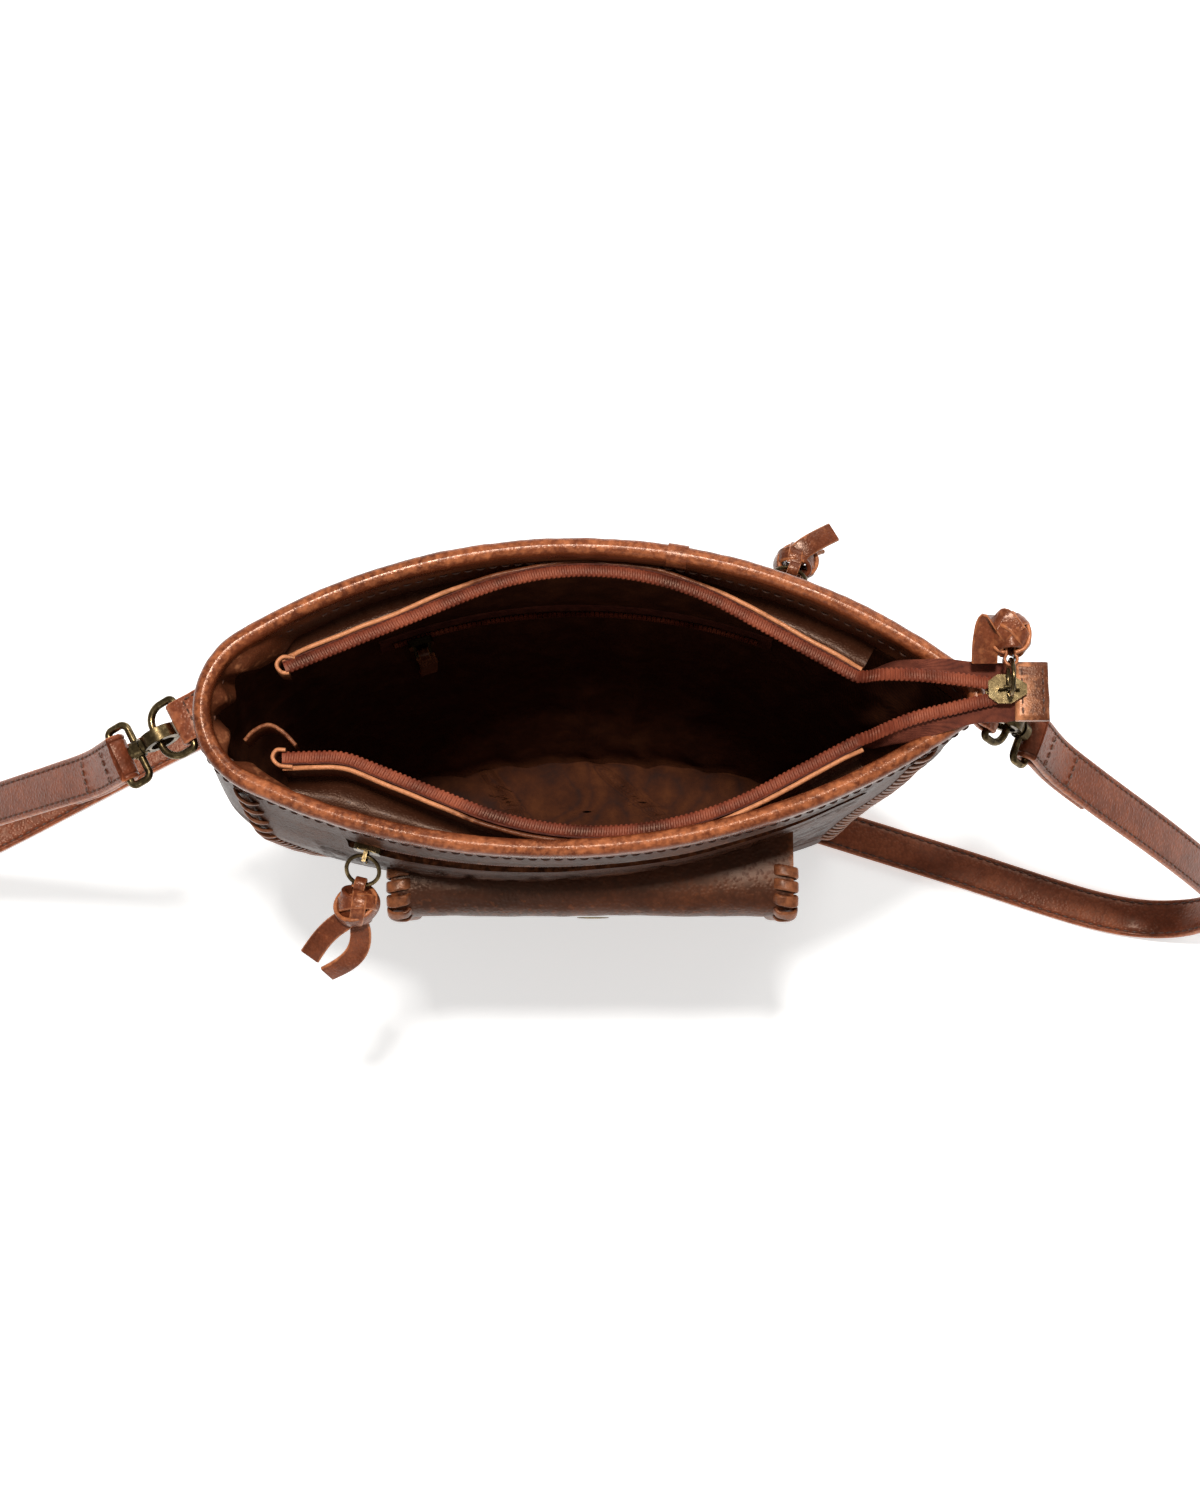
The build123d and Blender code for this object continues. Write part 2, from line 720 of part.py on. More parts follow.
def strip(route, radii, first, second):
    """A flat strip along a route between two sideways offsets, as a face at z = 0."""
    with BuildSketch() as face:
        with BuildLine():
            ends = []
            for offset in (first, second):
                moved, bends = shifted(route, radii, offset)
                if bends:
                    FilletPolyline(*moved, radius=bends)
                else:
                    Line(*moved)
                ends.append((moved[0], moved[-1]))
            Line(ends[0][0], ends[1][0])
            Line(ends[0][1], ends[1][1])
        make_face()
    return face.sketch


def raised(face, bottom, top):
    """A flat face at z = 0 as a block between two heights."""
    with BuildPart() as block_part:
        with BuildSketch(Plane.XY.offset(bottom)):
            add(face)
        extrude(amount=top - bottom)
    return block_part.part


tape_inner = coil_width / 2 + 0.05
placket_inner = placket_setback - placket_leather / 2
placket_outer = placket_setback + placket_leather / 2


def mouth_face():
    """Everything between the two plackets, their leather included."""
    with BuildSketch() as face:
        with BuildLine():
            back, back_bends = shifted(back_route, back_radii, placket_outer)
            front, front_bends = shifted(front_route, front_radii, -placket_outer)
            FilletPolyline(*back, radius=back_bends)
            FilletPolyline(*front, radius=front_bends)
            Line(back[0], front[0])
            Line(back[-1], front[-1])
        make_face()
    return face.sketch


mouth = raised(mouth_face(), placket_bottom, placket_bottom + ledge_leather)


def half_zip(name, side, route, radii):
    """One half of the open top zip: leather placket, tape and coil."""
    far = 200.0
    ledge_levels = (placket_bottom, placket_bottom + ledge_leather)
    half = (min(0, side * far), max(0, side * far))
    with BuildPart() as ledge:
        add(shell_solid(facing_inner + 0.05, *ledge_levels))
        add(block((route[0][0] + 1, route[-1][0] - 1), half, ledge_levels), mode=Mode.INTERSECT)
        add(mouth, mode=Mode.SUBTRACT)
    with BuildPart() as placket:
        upright = strip(route, radii, side * placket_inner, side * placket_outer)
        add(raised(upright, placket_bottom, placket_top))
        add(shell_solid(facing_inner + 0.1, placket_bottom, placket_top), mode=Mode.INTERSECT)
        add(ledge.part)
    save(placket, name + "_placket")
    with BuildPart() as tape:
        tape_outer = placket_inner - 0.05
        add(raised(strip(route, radii, side * tape_inner, side * tape_outer), placket_bottom, placket_top))
    save(tape, name + "_tape")
    tail_route = [route[-1], (chain_join, side * join_offset)]
    tail_face = strip(tail_route, [], -coil_width / 2, coil_width / 2)
    coil_bottom = placket_top - coil_height
    with BuildPart() as coil:
        add(raised(strip(route, radii, -coil_width / 2, coil_width / 2), coil_bottom, placket_top))
        add(raised(tail_face, tail_level + tape_cloth + 0.05, tail_level + tape_cloth + coil_height))
    save(coil, name + "_coil")


half_zip("back", 1, back_route, back_radii)
half_zip("front", -1, front_route, front_radii)

half_tail = tail_width / 2
with BuildPart() as tail_tape:
    with BuildSketch(Plane.XY.offset(tail_level)):
        with BuildLine():
            Polyline((tail_start, tail_root_back[0]), (tail_start, tail_root_back[1]),
                     (tail_waist_x, tail_waist_back), (chain_join, half_tail),
                     (tail_end - end_tab_leather, half_tail), (tail_end - end_tab_leather, -half_tail),
                     (chain_join, -half_tail), (tail_waist_x, tail_waist_front),
                     (tail_start, tail_root_front[1]), (tail_start, tail_root_front[0]),
                     (chain_join, -chain_split), (chain_join, chain_split), close=True)
        make_face()
    extrude(amount=tape_cloth)
save(tail_tape, "tail_tape")

tab_start = tail_end - end_tab_length
with BuildPart() as zip_end_tab:
    wrap = end_tab_leather + 0.05
    with BuildSketch(Plane.XY.offset(tail_level - wrap)):
        with Locations(((tab_start + tail_end) / 2, 0)):
            RectangleRounded(end_tab_length, tail_width + 2 * end_tab_margin, end_tab_corner)
    extrude(amount=tape_cloth + 2 * wrap)
    room = (tail_level - 0.05, tail_level + tape_cloth + 0.05)
    inside = (tab_start - 1, tail_end - end_tab_leather + 0.05)
    add(block(inside, (-half_tail - 0.05, half_tail + 0.05), room), mode=Mode.SUBTRACT)
save(zip_end_tab, "zip_end_tab")

lower_top = tail_level - slider_clearance
upper_bottom = tail_level + tape_cloth + coil_height + slider_clearance
slider_middle = slider_start + slider_length / 2
lower_length = tab_start - slider_clearance - slider_start
with BuildPart() as main_slider:
    with BuildSketch(Plane.XY.offset(lower_top - slider_plate)):
        with Locations((slider_start + lower_length / 2, 0)):
            RectangleRounded(lower_length, slider_width, slider_corner)
    extrude(amount=slider_plate)
    with BuildSketch(Plane.XY.offset(upper_bottom)):
        with BuildLine():
            shield = slider_width / 2
            slider_end = slider_start + slider_length
            Polyline((slider_start, shield - shield_chamfer), (slider_start + shield_shoulder, shield),
                     (slider_middle + 1, shield), (slider_end, shield_tip), (slider_end, -shield_tip),
                     (slider_middle + 1, -shield), (slider_start + shield_shoulder, -shield),
                     (slider_start, shield_chamfer - shield), close=True)
        make_face()
    extrude(amount=slider_plate)
    wedge_levels = (lower_top - wedge_start, upper_bottom + wedge_start)
    wedge_reach = (slider_start + wedge_start, slider_start + wedge_start + wedge_length)
    add(block(wedge_reach, (-wedge_half, wedge_half), wedge_levels))
    plate_top = upper_bottom + slider_plate
    post_levels = (plate_top - 0.1, plate_top + main_bail_reach)
    for post in (slider_middle - main_bail_half, slider_middle + main_bail_half):
        post_reach = (post - main_post / 2, post + main_post / 2)
        add(block(post_reach, (-main_post / 2, main_post / 2), post_levels))
    main_bar = Vector(slider_middle, 0, plate_top + main_bail_reach - bail_bar)
    with Locations(Location(main_bar, (0, 90, 0))):
        Cylinder(bail_bar, 2 * main_bail_half)
save(main_slider, "main_slider")

ring_rise = radians(52)
main_out = Vector(0, cos(ring_rise), sin(ring_rise))
main_hang = Plane(main_bar, x_dir=main_out, z_dir=(1, 0, 0))
main_pull_ring = pull_ring(main_hang)
save(main_pull_ring, "main_pull_ring")

ring_middle = main_bar + main_out * ring_offset()
pull_out = Vector(0, 1, 0)
main_knot_place = Plane(ring_middle + pull_out * pull_ring_radius, x_dir=pull_out, z_dir=(1, 0, 0))
main_zip_pull = leather_pull(main_knot_place, (-75, -105), main_tail_length)
save(main_zip_pull, "main_zip_pull")

# ---------------------------------------------------------------- flap pocket
half_pocket = pocket_width / 2
pouch_slope = (pocket_front_top - pocket_front_bottom) / (pocket_top - pocket_bottom)


def pouch_face_y(height):
    """The pouch's outer face at a height; it leans in towards the base."""
    return pocket_front_top + pouch_slope * (height - pocket_top)


def profile_part(points, half_width):
    """A profile in the Y-Z plane, extruded evenly to both sides of the middle."""
    with BuildPart() as body:
        with BuildSketch(Plane.YZ):
            with BuildLine():
                Polyline(*points, close=True)
            make_face()
        extrude(amount=half_width, both=True)
    return body.part


inside_shell = -15.0
with BuildPart() as pocket_pouch:
    add(profile_part([(pouch_face_y(pocket_top), pocket_top), (pouch_face_y(pocket_bottom), pocket_bottom),
                      (inside_shell, pocket_bottom), (inside_shell, pocket_top)], half_pocket))
    floor = pocket_bottom + pocket_leather
    over = pocket_top + 1
    add(profile_part([(pouch_face_y(over) + pocket_leather, over),
                      (pouch_face_y(floor) + pocket_leather, floor),
                      (inside_shell, floor), (inside_shell, over)], half_pocket - pocket_leather),
        mode=Mode.SUBTRACT)
    add(shell_outer, mode=Mode.SUBTRACT)
save(pocket_pouch, "pocket_pouch")

half_flap = half_pocket + flap_overhang
half_hinge = flap_leather / 2
with BuildPart() as pocket_flap_root:
    root_levels = (flap_hinge_level - half_hinge, flap_hinge_level + half_hinge)
    add(block((-half_flap, half_flap), (flap_hinge_y, inside_shell), root_levels))
    add(shell_outer, mode=Mode.SUBTRACT)
save(pocket_flap_root, "pocket_flap_root")

flap_start = flap_hinge_y - flap_hinge_gap


def flap_face_y(height, layer):
    return pouch_face_y(height) - flap_gap - layer


with BuildPart() as pocket_flap:
    add(profile_part([(flap_start, flap_hinge_level + half_hinge),
                      (flap_face_y(flap_fold_level, flap_leather), flap_fold_level),
                      (flap_face_y(flap_bottom, flap_leather), flap_bottom),
                      (flap_face_y(flap_bottom, 0), flap_bottom),
                      (flap_face_y(flap_fold_level - 1, 0), flap_fold_level - 1),
                      (flap_start, flap_hinge_level - half_hinge)], half_flap))
    fold = pocket_flap.edges().filter_by(Axis.X).sort_by(Axis.Y)[0]
    fillet(fold, flap_fold_radius)
save(pocket_flap, "pocket_flap")

snap_out = Vector(0, -cos(atan2(-pouch_slope, 1)), -sin(atan2(-pouch_slope, 1)))


def snap_disc(radius, start, height):
    """A disc of the snap, on the line square to the pouch's face at the snap's level."""
    spot = Vector(0, pouch_face_y(snap_level), snap_level) + snap_out * start
    with BuildPart() as disc:
        with BuildSketch(Plane(spot, x_dir=(1, 0, 0), z_dir=snap_out)):
            Circle(radius)
        extrude(amount=height)
    return disc


square = cos(atan2(-pouch_slope, 1))
save(snap_disc(snap_stud_radius, 0.0, (flap_gap - 0.4) * square), "snap_stud")
save(snap_disc(snap_radius, (flap_gap + flap_leather) * square, snap_cap_height), "snap_cap")

# ---------------------------------------------------------------- laced side seams
def seam_x(sign, top, base, height):
    return sign * (base + (top - base) * height / shell_height)


def seam_point(x, height, side):
    """Where the shell's outer face is at x, and the way out of it there."""
    plan = section_at(height)
    cx, cy, radius = plan.long_arc(side)
    left, right = plan.ends()
    end = left if x < 0 else right
    touch_x = touch_point((cx, cy), radius, end, 0.0)[0]
    if abs(x) > abs(touch_x):
        turn = asin(max(-1.0, min(1.0, (x - end[0]) / end[2])))
        centre, reach = (end[0], end[1]), end[2]
    else:
        turn = asin((x - cx) / radius)
        centre, reach = (cx, cy), radius
    out = Vector(sin(turn), side * cos(turn), 0)
    return Vector(centre[0], centre[1], height) + out * reach, out


def seam_lacing(sign, side, top, base):
    """Whipstitches of flat lace over one side seam, from the rim to near the base."""
    count = int((lace_end - lace_start) / lace_pitch) + 1
    with BuildPart() as lacing:
        for i in range(count):
            height = lace_start + i * lace_pitch
            spot, out = seam_point(seam_x(sign, top, base, height), height, side)
            along = Vector(0, 0, 1).cross(out)
            with BuildSketch(Plane(spot - out * lace_thickness, x_dir=along, z_dir=out)):
                RectangleRounded(lace_length, lace_width, 1.2)
            extrude(amount=2 * lace_thickness)
        add(shell_outer, mode=Mode.SUBTRACT)
    return lacing


for end_name, sign, top, base in (("left", -1, gusset_seam_top_left, gusset_seam_base_left),
                                  ("right", 1, gusset_seam_top_right, gusset_seam_base_right)):
    for side_name, side in (("front", -1), ("back", 1)):
        save(seam_lacing(sign, side, top, base), f"{side_name}_{end_name}_lacing")

# the flap's side edges carry the same lace, wrapped over its fold
with BuildPart() as flap_lacing:
    for sign in (-1, 1):
        edge = sign * (half_flap + lace_thickness / 2 + 0.05)
        for i in range(flap_lace_count):
            height = flap_bottom + flap_lace_start + i * lace_pitch
            out_face = flap_face_y(height, flap_leather) + lace_bite - lace_thickness
            back_face = flap_face_y(height, 0) + lace_bite
            add(block((edge - lace_thickness / 2, edge + lace_thickness / 2), (out_face, back_face),
                      (height - lace_width / 2, height + lace_width / 2)))
            add(block((min(edge, edge - sign * lace_length / 2), max(edge, edge - sign * lace_length / 2)),
                      (out_face, flap_face_y(height, flap_leather) - lace_bite),
                      (height - lace_width / 2, height + lace_width / 2)))
save(flap_lacing, "flap_lacing")


# ---------------------------------------------------------------- strap hardware
def wire_frame(place, near, far, half_width, corners):
    """A closed frame of round stock along x from near to far, with its near and far corners' radii."""
    with BuildPart() as frame:
        with BuildLine(place) as path:
            FilletPolyline((near, half_width), (far, half_width), (far, -half_width),
                           (near, -half_width), close=True,
                           radius=[corners[0], corners[1], corners[1], corners[0]])
        route = path.wire()
        with BuildSketch(Plane(route @ 0, z_dir=route % 0)):
            Circle(wire)
        sweep(path=route)
    return frame


def side_view(place):
    """The plane across a clasp: x towards the strap and y up."""
    return Plane(place.origin, x_dir=place.x_dir, z_dir=place.y_dir * -1)


near_bar = clasp_reach - eye_depth / 2


def sector(first, last):
    """A wedge from the hook's middle, wide enough to cut its rim."""
    reach = 4 * hook_outer
    middle = (first + last) / 2
    corners = [(hook_middle[0] + reach * cos(turn), hook_middle[1] + reach * sin(turn))
               for turn in (first, middle, last)]
    with BuildSketch() as wedge:
        with BuildLine():
            Polyline(hook_middle, *corners, close=True)
        make_face()
    return wedge.sketch


rim_middle = (hook_hole + hook_outer) / 2
rim_half_width = (hook_outer - hook_hole) / 2
gate_pivot = (hook_middle[0] + rim_middle * cos(gate_turn), hook_middle[1] + rim_middle * sin(gate_turn))


def at_pivot(radius):
    """A disc round the gate's pin."""
    with BuildSketch() as disc:
        with Locations(gate_pivot):
            Circle(radius)
    return disc.sketch


def rim_face():
    """The whole rim of the hook, before its mouth is cut."""
    with BuildSketch() as face:
        with Locations(hook_middle):
            Circle(hook_outer)
            Circle(hook_hole, mode=Mode.SUBTRACT)
    return face.sketch


def mouth_of_hook(reach):
    """The part of the rim that lies on the gate's side of its pin, out to a reach from the pin."""
    return rim_face() & sector(gate_far, gate_turn) & at_pivot(reach)


def flat_part(view, face, thickness):
    """A face in the clasp's side view, given a thickness evenly to both sides."""
    with BuildPart() as body:
        with BuildSketch(view):
            add(face)
        extrude(amount=thickness / 2, both=True)
    return body.part


def clasp_rim(view):
    """The hook's open rim with a slotted knuckle and the pin of its gate."""
    with BuildPart() as rim:
        add(flat_part(view, rim_face() - mouth_of_hook(gate_reach + gate_gap) + at_pivot(rim_half_width),
                      hook_thickness))
        slot = gate_tongue + 2 * tongue_gap
        add(flat_part(view, at_pivot(rim_half_width + gate_gap), slot), mode=Mode.SUBTRACT)
        add(flat_part(view, at_pivot(gate_pin), hook_thickness))
    return rim


def clasp_gate(place):
    """The gate that closes the hook's mouth; it turns on the hook's pin."""
    view = side_view(place)
    knuckle = at_pivot(rim_half_width)
    with BuildPart() as gate:
        add(flat_part(view, mouth_of_hook(gate_reach) - at_pivot(rim_half_width + gate_gap), hook_thickness))
        add(flat_part(view, mouth_of_hook(3 * rim_half_width) + knuckle, gate_tongue))
        add(flat_part(view, at_pivot(gate_bore), hook_thickness), mode=Mode.SUBTRACT)
    return gate


def clasp_hook(place):
    """The swivel clasp's hook: an open rim, a barrel and the pin that turns in the eye's boss."""
    barrel_start = hook_middle[0] + hook_outer - barrel_overlap
    barrel_end = near_bar - boss_length / 2 - swivel_gap
    pin_end = near_bar + boss_length / 2 + swivel_gap + pin_head
    with BuildPart() as hook:
        add(clasp_rim(side_view(place)).part)
        with BuildSketch(Plane(place.origin + place.x_dir * barrel_start, z_dir=place.x_dir)):
            Circle(barrel_radius)
        extrude(amount=barrel_end - barrel_start)
        pin_start = place.origin + place.x_dir * (barrel_end - small_overlap)
        with BuildSketch(Plane(pin_start, z_dir=place.x_dir)):
            Circle(swivel_radius)
        extrude(amount=pin_end - barrel_end)
        with BuildSketch(Plane(place.origin + place.x_dir * (pin_end - pin_head), z_dir=place.x_dir)):
            Circle(pin_head_radius)
        extrude(amount=pin_head)
    return hook


def clasp_eye(place):
    """The eye that carries the strap, with a bored boss on its near bar for the clasp's pin."""
    boss_start = near_bar - boss_length / 2
    with BuildPart() as eye:
        add(wire_frame(place, near_bar, near_bar + eye_depth, eye_half_width, eye_corners).part)
        with BuildSketch(Plane(place.origin + place.x_dir * boss_start, z_dir=place.x_dir)):
            Circle(boss_radius)
        extrude(amount=boss_length)
        with BuildSketch(Plane(place.origin + place.x_dir * (boss_start - 1), z_dir=place.x_dir)):
            Circle(swivel_radius + swivel_clearance)
        extrude(amount=boss_length + 2, mode=Mode.SUBTRACT)
    return eye


def ring_tab(place):
    """The leather tab: a loop round the D-ring's bar and a tongue sewn to the gusset."""
    hole = wire + wire_clearance
    with BuildPart(place) as loop:
        with Locations((-tab_reach / 2, 0, 0)):
            Box(tab_reach, tab_width, 2 * tab_leather + tab_core)
        with Locations(Location((0, 0, 0), (90, 0, 0))):
            Cylinder(hole + tab_leather, tab_width)
        with Locations(Location((0, 0, 0), (90, 0, 0))):
            Cylinder(hole, tab_width + 1, mode=Mode.SUBTRACT)
    with BuildPart() as tab:
        add(loop.part)
        add(shell_outer, mode=Mode.SUBTRACT)
    return tab


places = {
    "left": hardware_place(left_bar, left_heading, left_pitch),
    "right": hardware_place(right_bar, right_heading, right_pitch),
}
for end_name, place in places.items():
    save(ring_tab(place), end_name + "_ring_tab")
    save(wire_frame(place, 0, ring_depth, ring_bar_half, ring_corners), end_name + "_d_ring")
    save(clasp_hook(place), end_name + "_clasp_hook")
    save(clasp_eye(place), end_name + "_clasp_eye")
    save(clasp_gate(place), end_name + "_clasp_gate")

# ---------------------------------------------------------------- shoulder strap
with BuildPart() as shoulder_strap:
    add(ribbon(right_branch + floor_points() + left_branch, strap_width, strap_thickness))
    for place in places.values():
        bar_place = place.offset(0)
        bar_place.origin = place.origin + place.x_dir * eye_bar_reach
        with Locations(Location(bar_place) * Location((0, 0, 0), (90, 0, 0))):
            Cylinder(strap_loop_radius, strap_width)
    for place in places.values():
        bar_place = place.offset(0)
        bar_place.origin = place.origin + place.x_dir * eye_bar_reach
        with Locations(Location(bar_place) * Location((0, 0, 0), (90, 0, 0))):
            Cylinder(wire + wire_clearance, strap_width + 2, mode=Mode.SUBTRACT)
save(shoulder_strap, "shoulder_strap")
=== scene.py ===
"""Looks of the crossbody purse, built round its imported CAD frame. Lengths here are in millimetres
until piece() turns them into metres."""
from math import atan2, cos, hypot, pi, radians, sin, sqrt

import bpy
import numpy as np
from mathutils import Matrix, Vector, noise


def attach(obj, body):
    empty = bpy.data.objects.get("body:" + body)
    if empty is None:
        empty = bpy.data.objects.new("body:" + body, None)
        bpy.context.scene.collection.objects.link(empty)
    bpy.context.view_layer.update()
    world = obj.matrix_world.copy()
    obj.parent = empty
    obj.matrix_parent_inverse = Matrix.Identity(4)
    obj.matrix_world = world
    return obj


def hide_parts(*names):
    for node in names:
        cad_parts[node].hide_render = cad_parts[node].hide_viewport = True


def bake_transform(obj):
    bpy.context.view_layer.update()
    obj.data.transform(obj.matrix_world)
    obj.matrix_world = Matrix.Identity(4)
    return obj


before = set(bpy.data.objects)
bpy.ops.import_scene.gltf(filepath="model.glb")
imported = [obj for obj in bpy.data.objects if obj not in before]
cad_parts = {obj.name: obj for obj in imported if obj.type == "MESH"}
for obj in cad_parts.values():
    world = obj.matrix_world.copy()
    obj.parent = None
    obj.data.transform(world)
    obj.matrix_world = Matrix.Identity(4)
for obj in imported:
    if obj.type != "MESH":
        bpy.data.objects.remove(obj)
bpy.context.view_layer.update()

MM = 0.001
rng = np.random.default_rng(7)

# ------------------------------------------------------------------ small vector tools


def vec(*a):
    return np.array(a, dtype=float)


UP = vec(0, 0, 1)


def unit(v):
    v = np.asarray(v, dtype=float)
    return v / np.maximum(np.linalg.norm(v, axis=-1, keepdims=True), 1e-12)


def smoothstep(x, lo, hi):
    t = np.clip((np.asarray(x, dtype=float) - lo) / (hi - lo), 0, 1)
    return t * t * (3 - 2 * t)


def lerp(a, b, t):
    return a + (b - a) * t


def rows_of(v, count):
    """The same vector on every row."""
    return np.tile(v, (count, 1))


def at_height(flat, z):
    """Points of the plan at a height, or level directions where z is 0."""
    return np.concatenate([flat, np.full((len(flat), 1), z)], axis=1)


def distances(points):
    """The length along a line at each of its points."""
    return np.concatenate([[0], np.cumsum(np.linalg.norm(np.diff(points, axis=0), axis=1))])


def look_up(where, along, values):
    """What a line carries at given lengths along it."""
    return np.stack([np.interp(where, along, values[:, k]) for k in range(values.shape[1])], axis=1)


def squared(v, t):
    """Directions turned square to a line's tangents."""
    return unit(v - t * (v * t).sum(axis=1, keepdims=True))


def resample(points, count=None, step=None):
    """The same open line with evenly spaced points."""
    points = np.asarray(points, dtype=float)
    along = distances(points)
    count = count or max(int(round(along[-1] / step)) + 1, 2)
    return look_up(np.linspace(0, along[-1], count), along, points)


def curve_through(points, per_span=12):
    """A smooth centripetal Catmull-Rom line through the points."""
    p = np.asarray(points, dtype=float)
    p = np.vstack([2 * p[0] - p[1], p, 2 * p[-1] - p[-2]])
    out = []
    for i in range(1, len(p) - 2):
        knots = [0.0]
        for a, b in zip(p[i - 1:i + 2], p[i:i + 3]):
            knots.append(knots[-1] + max(np.linalg.norm(b - a), 1e-9) ** 0.5)
        t0, t1, t2, t3 = knots
        for t in np.linspace(t1, t2, per_span, endpoint=False):
            a1 = (t1 - t) / (t1 - t0) * p[i - 1] + (t - t0) / (t1 - t0) * p[i]
            a2 = (t2 - t) / (t2 - t1) * p[i] + (t - t1) / (t2 - t1) * p[i + 1]
            a3 = (t3 - t) / (t3 - t2) * p[i + 1] + (t - t2) / (t3 - t2) * p[i + 2]
            b1 = (t2 - t) / (t2 - t0) * a1 + (t - t0) / (t2 - t0) * a2
            b2 = (t3 - t) / (t3 - t1) * a2 + (t - t1) / (t3 - t1) * a3
            out.append((t2 - t) / (t2 - t1) * b1 + (t - t1) / (t2 - t1) * b2)
    out.append(p[-2])
    return np.array(out)


def tangents(path, closed=False):
    if closed:
        return unit(np.roll(path, -1, axis=0) - np.roll(path, 1, axis=0))
    return unit(np.gradient(path, axis=0))


def bumpy(x, y, z, scale, seed=0.0):
    """Smooth noise from -1 to 1 at a size in millimetres."""
    return noise.noise(Vector((x / scale + seed, y / scale - seed, z / scale + 2 * seed)))


# ------------------------------------------------------------------ building meshes
class Shape:
    """Corners, faces, texture coordinates in millimetres and a value for rubbed edges, painted shade and
    painted highlights, gathered into one mesh.
    """

    def __init__(self):
        self.points, self.faces, self.uvs, self.wear = [], [], [], []
        self.count = 0

    def add(self, points, faces, uvs=None, wear=None):
        points = np.asarray(points, dtype=float).reshape(-1, 3)
        self.points.append(points)
        self.faces += [tuple(int(i) + self.count for i in face) for face in faces]
        self.uvs.append(np.asarray(uvs, dtype=float).reshape(-1, 2) if uvs is not None
                        else points[:, :2].copy())
        self.wear.append(np.asarray(wear, dtype=float).reshape(-1) if wear is not None
                         else np.zeros(len(points)))
        self.count += len(points)

    def grid(self, grid, uv=None, wear=None, closed_u=False, closed_v=False, mask=None, flip=False):
        """A sheet of quads; closed_u joins the last row to the first."""
        nu, nv = grid.shape[:2]
        ids = np.arange(nu * nv).reshape(nu, nv)
        faces = []
        for i in range(nu if closed_u else nu - 1):
            for j in range(nv if closed_v else nv - 1):
                if mask is not None and not mask[i, j]:
                    continue
                a, b = ids[i, j], ids[(i + 1) % nu, j]
                c, d = ids[(i + 1) % nu, (j + 1) % nv], ids[i, (j + 1) % nv]
                faces.append((a, d, c, b) if flip else (a, b, c, d))
        self.add(grid, faces, uv, wear)
        return ids

    def slab(self, outer, inner, uv=None, wear=None, closed_u=False, mask=None):
        """A layer of leather or cloth with both faces and its edges all round."""
        nu, nv = outer.shape[:2]
        start = self.count
        self.grid(outer, uv, wear, closed_u, False, mask)
        self.grid(inner, uv, wear, closed_u, False, mask, flip=True)
        rows = nu if closed_u else nu - 1
        keep = np.ones((rows, nv - 1), bool) if mask is None else mask[:rows, :nv - 1]
        edges = {}
        for i in range(rows):
            for j in range(nv - 1):
                if keep[i, j]:
                    loop = [(i, j), ((i + 1) % nu, j), ((i + 1) % nu, j + 1), (i, j + 1)]
                    for a, b in zip(loop, loop[1:] + loop[:1]):
                        if (b, a) in edges:
                            del edges[b, a]
                        else:
                            edges[a, b] = 1
        for (a, b) in edges:
            ia, ib = start + a[0] * nv + a[1], start + b[0] * nv + b[1]
            self.faces.append((ib, ia, ia + nu * nv, ib + nu * nv))

    def sweep(self, path, side, up, profile, closed=False, wear=None):
        """A closed profile of (sideways, upward) points carried along a path."""
        path, profile = np.asarray(path, float), np.asarray(profile, float)
        if profile.ndim == 2:
            profile = np.repeat(profile[None], len(path), axis=0)
        rings = (path[:, None] + side[:, None] * profile[..., :1] + up[:, None] * profile[..., 1:2])
        n, m = rings.shape[:2]
        uv = np.stack(np.broadcast_arrays(distances(path)[:, None], distances(profile[0])[None]), axis=-1)
        w = None if wear is None else np.broadcast_to(wear, (n, m))
        start = self.count
        self.grid(rings, uv, w, closed_u=closed, closed_v=True)
        if not closed:
            self.faces.append(tuple(start + i for i in range(m)))
            self.faces.append(tuple(start + (n - 1) * m + i for i in reversed(range(m))))


def piece(name, shape, material, body, nodes=(), sharp=50.0, levels=0, wear=True):
    """Turns a shape into an object that rides on a body and stands for the CAD nodes named."""
    mesh = bpy.data.meshes.new(name)
    points = np.concatenate(shape.points) * MM
    mesh.from_pydata(points.tolist(), [], shape.faces)
    mesh.validate()
    uv = np.concatenate(shape.uvs) * MM
    layer = mesh.uv_layers.new(name="size")
    index = np.empty(len(mesh.loops), dtype=np.int32)
    mesh.loops.foreach_get("vertex_index", index)
    layer.data.foreach_set("uv", uv[index].astype(np.float32).ravel())
    if wear:
        attribute = mesh.attributes.new("wear", "FLOAT", "POINT")
        attribute.data.foreach_set("value", np.concatenate(shape.wear).astype(np.float32))
    mesh.shade_smooth()
    mesh.set_sharp_from_angle(angle=radians(sharp))
    mesh.materials.append(material)
    item = bpy.data.objects.new(name, mesh)
    bpy.context.scene.collection.objects.link(item)
    if levels:
        smooth = item.modifiers.new("smooth", "SUBSURF")
        smooth.levels = smooth.render_levels = levels
    if body:
        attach(item, body)
    if nodes:
        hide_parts(*nodes)
    return item


def round_box(width, height, corner, steps=3):
    """A rounded rectangle's outline, anticlockwise."""
    corner = min(corner, width / 2 - 1e-3, height / 2 - 1e-3)
    out = []
    for cx, cy, first in ((1, -1, -90), (1, 1, 0), (-1, 1, 90), (-1, -1, 180)):
        for k in range(steps + 1):
            a = radians(first + 90 * k / steps)
            out.append((cx * (width / 2 - corner) + corner * cos(a),
                        cy * (height / 2 - corner) + corner * sin(a)))
    return np.array(out)


def circle(radius, count=10, squash=1.0):
    a = np.linspace(0, 2 * pi, count, endpoint=False)
    return np.stack([radius * np.cos(a), radius * squash * np.sin(a)], axis=1)


